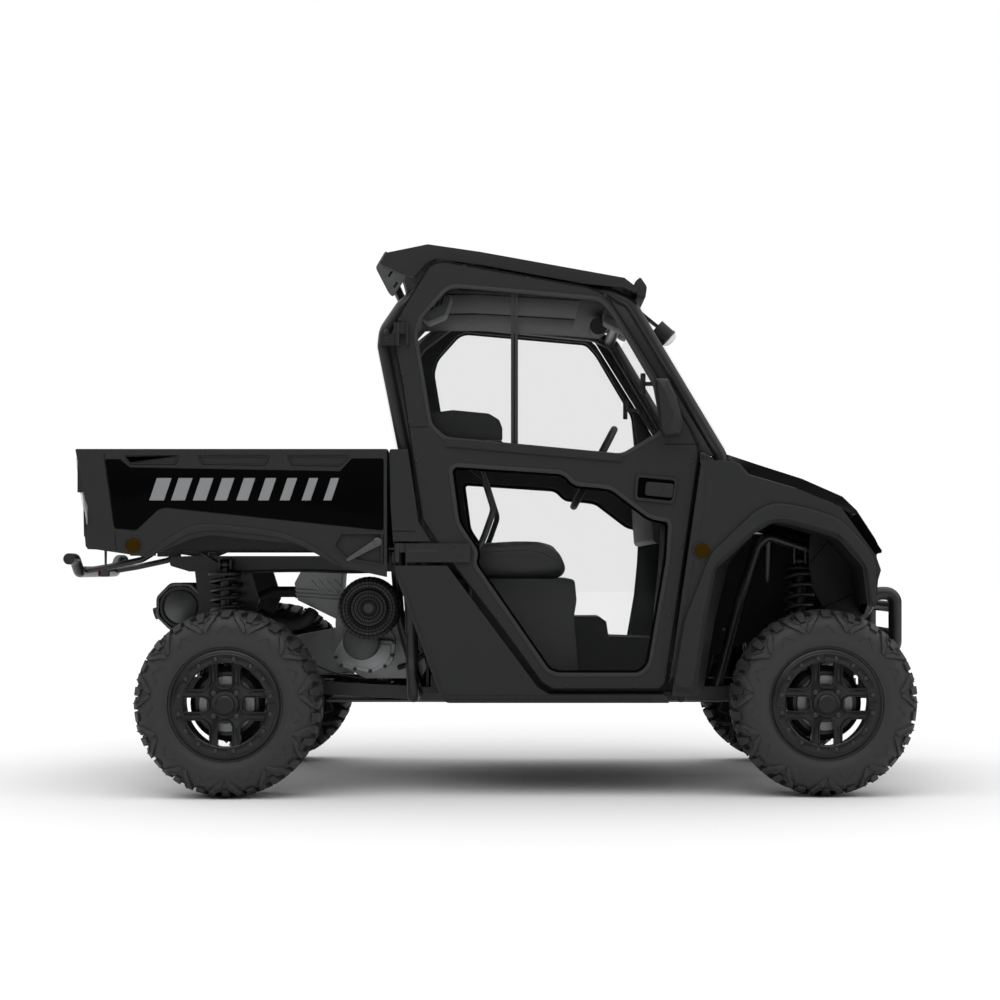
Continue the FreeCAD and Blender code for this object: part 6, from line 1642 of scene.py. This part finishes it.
class UTV_OT_seats(bpy.types.Operator):
    """Build the padded seat and back cushions"""

    bl_idname = "utv.seats"
    bl_label = "Seats"

    def execute(self, context):
        for node, label in (("seat_cushions", "seat_pad"), ("seat_backs", "back_pad")):
            low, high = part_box(node)
            for side, sign in SIDES:
                near, far = sorted((sign * 0.018, sign * (high.y - 0.006)))
                corner_a = [low.x + 0.006, near, low.z + 0.004]
                corner_b = [high.x - 0.006, far, high.z - 0.008]
                pad = cushion_form(f"{label}_{side}", corner_a, corner_b, 0.02)
                if node == "seat_cushions":
                    sloped(pad, corner_a, corner_b)
                puffed(pad, CUSHION_VOXEL, CUSHION_SWELL)
                put(pad, "chassis", node)
        for side, sign in SIDES:
            put(joined_piece("seat_piping_" + side, piping(sign * PIPING_Y)), "chassis")
        return {"FINISHED"}


# Stage

CAMERA_X = 0.110
CAMERA_SHIFT = (-0.0197, 0.0677)
SIDE_LAMP_SHARE = 0.6
HORIZON_LIGHT = 0.012


class UTV_OT_stage(bpy.types.Operator):
    """Make the floor, the lights and the camera"""

    bl_idname = "utv.stage"
    bl_label = "Stage"

    def execute(self, context):
        settings = context.scene.utv_stage
        side_power = settings.key_light * SIDE_LAMP_SHARE
        add_floor()
        add_world(settings.world_light)
        add_lamp("key_lamp", (-1.5, -3.5, 6.0), (0.2, 0, 0.6), 6.0, settings.key_light)
        add_lamp("front_lamp", (7.0, -3.0, 2.6), (0.5, 0, 0.8), 4.0, side_power)
        add_lamp("rear_lamp", (-6.5, 2.0, 4.5), (-0.5, 0, 0.9), 4.0, side_power)
        add_camera(settings)
        return {"FINISHED"}


def add_floor():
    """A wide pale floor whose far part fades into the background."""
    shape = bmesh.new()
    bmesh.ops.create_circle(shape, cap_ends=True, radius=60, segments=96)
    mesh = bpy.data.meshes.new("floor")
    shape.to_mesh(mesh)
    shape.free()
    floor = bpy.data.objects.new("floor", mesh)
    bpy.context.scene.collection.objects.link(floor)
    made = bpy.data.materials.new("floor_paper")
    made.use_nodes = True
    tree = made.node_tree
    shader = tree.nodes["Principled BSDF"]
    shader.inputs["Base Color"].default_value = (0.86, 0.86, 0.86, 1)
    shader.inputs["Roughness"].default_value = 0.8
    shader.inputs["Specular IOR Level"].default_value = 0.2
    shader.inputs["Emission Color"].default_value = (1, 1, 1, 1)
    where = tree.nodes.new("ShaderNodeTexCoord").outputs["Object"]
    far = add_node(tree, "ShaderNodeVectorMath", {"operation": "LENGTH"}, i0=where).outputs[1]
    seen = tree.nodes.new("ShaderNodeLightPath").outputs["Is Camera Ray"]
    glow = math_node(tree, "MULTIPLY", spread(tree, far, 2.2, 6.0, 0.0, 0.14), seen)
    tree.links.new(glow, shader.inputs["Emission Strength"])
    mesh.materials.append(made)


def add_world(strength):
    """Light from overhead that fades to a dark horizon, behind a plain white backdrop."""
    world = bpy.data.worlds.new("studio")
    world.use_nodes = True
    tree = world.node_tree
    white = tree.nodes["Background"]
    white.inputs["Color"].default_value = (1, 1, 1, 1)
    way = tree.nodes.new("ShaderNodeTexCoord").outputs["Generated"]
    height = add_node(tree, "ShaderNodeSeparateXYZ", i0=way).outputs[2]
    level = spread(tree, height, 0.16, 0.75, HORIZON_LIGHT, strength)
    dome = add_node(tree, "ShaderNodeBackground", Color=(1, 1, 1, 1), Strength=level)
    seen = tree.nodes.new("ShaderNodeLightPath").outputs["Is Camera Ray"]
    mixed = add_node(tree, "ShaderNodeMixShader", i0=seen, i1=dome.outputs[0], i2=white.outputs[0])
    tree.links.new(mixed.outputs[0], tree.nodes["World Output"].inputs[0])
    bpy.context.scene.world = world


def add_lamp(name, place, aim, width, power):
    """A square soft lamp."""
    data = bpy.data.lights.new(name, "AREA")
    data.size = width
    data.energy = power
    lamp = bpy.data.objects.new(name, data)
    lamp.location = place
    lamp.rotation_euler = (Vector(aim) - Vector(place)).to_track_quat("-Z", "Y").to_euler()
    bpy.context.scene.collection.objects.link(lamp)


def add_camera(settings):
    """The camera of the photograph: level, looking along +Y."""
    data = bpy.data.cameras.new("camera")
    data.lens = settings.lens
    data.sensor_width = 36
    data.shift_x, data.shift_y = CAMERA_SHIFT
    camera = bpy.data.objects.new("camera", data)
    camera.location = (CAMERA_X, -settings.camera_distance, settings.camera_height)
    camera.rotation_euler = (math.radians(90), 0, 0)
    bpy.context.scene.collection.objects.link(camera)
    bpy.context.scene.camera = camera


class UTV_PT_panel(bpy.types.Panel):
    """Lists the pieces of the vehicle"""

    bl_label = "Utility vehicle"
    bl_idname = "UTV_PT_panel"
    bl_space_type = "VIEW_3D"
    bl_region_type = "UI"
    bl_category = "Utility vehicle"

    def draw(self, context):
        for step in STEPS:
            self.layout.operator(step.bl_idname)


STEPS = (
    UTV_OT_stage, UTV_OT_frame_finish, UTV_OT_wheels, UTV_OT_bed_trim, UTV_OT_door_trim, UTV_OT_lamps,
    UTV_OT_door_furniture, UTV_OT_bodywork, UTV_OT_cab_inside, UTV_OT_engine_bay, UTV_OT_seats,
)
SETTINGS = (("utv_paint", UTVPaintSettings), ("utv_stage", UTVStageSettings),
            ("utv_wheels", UTVWheelSettings))


def register():
    """Adds the settings, the operators and the panel."""
    for name, group in SETTINGS:
        bpy.utils.register_class(group)
        setattr(bpy.types.Scene, name, bpy.props.PointerProperty(type=group))
    for made in (*STEPS, UTV_PT_panel):
        bpy.utils.register_class(made)


def unregister():
    """Removes what register added."""
    for made in reversed((*STEPS, UTV_PT_panel)):
        bpy.utils.unregister_class(made)
    for name, group in reversed(SETTINGS):
        delattr(bpy.types.Scene, name)
        bpy.utils.unregister_class(group)


def main():
    """Builds every piece."""
    register()
    bpy.context.scene.view_settings.view_transform = "Standard"
    for step in STEPS:
        group, action = step.bl_idname.split(".")
        getattr(getattr(bpy.ops, group), action)()


if __name__ == "__main__":
    main()
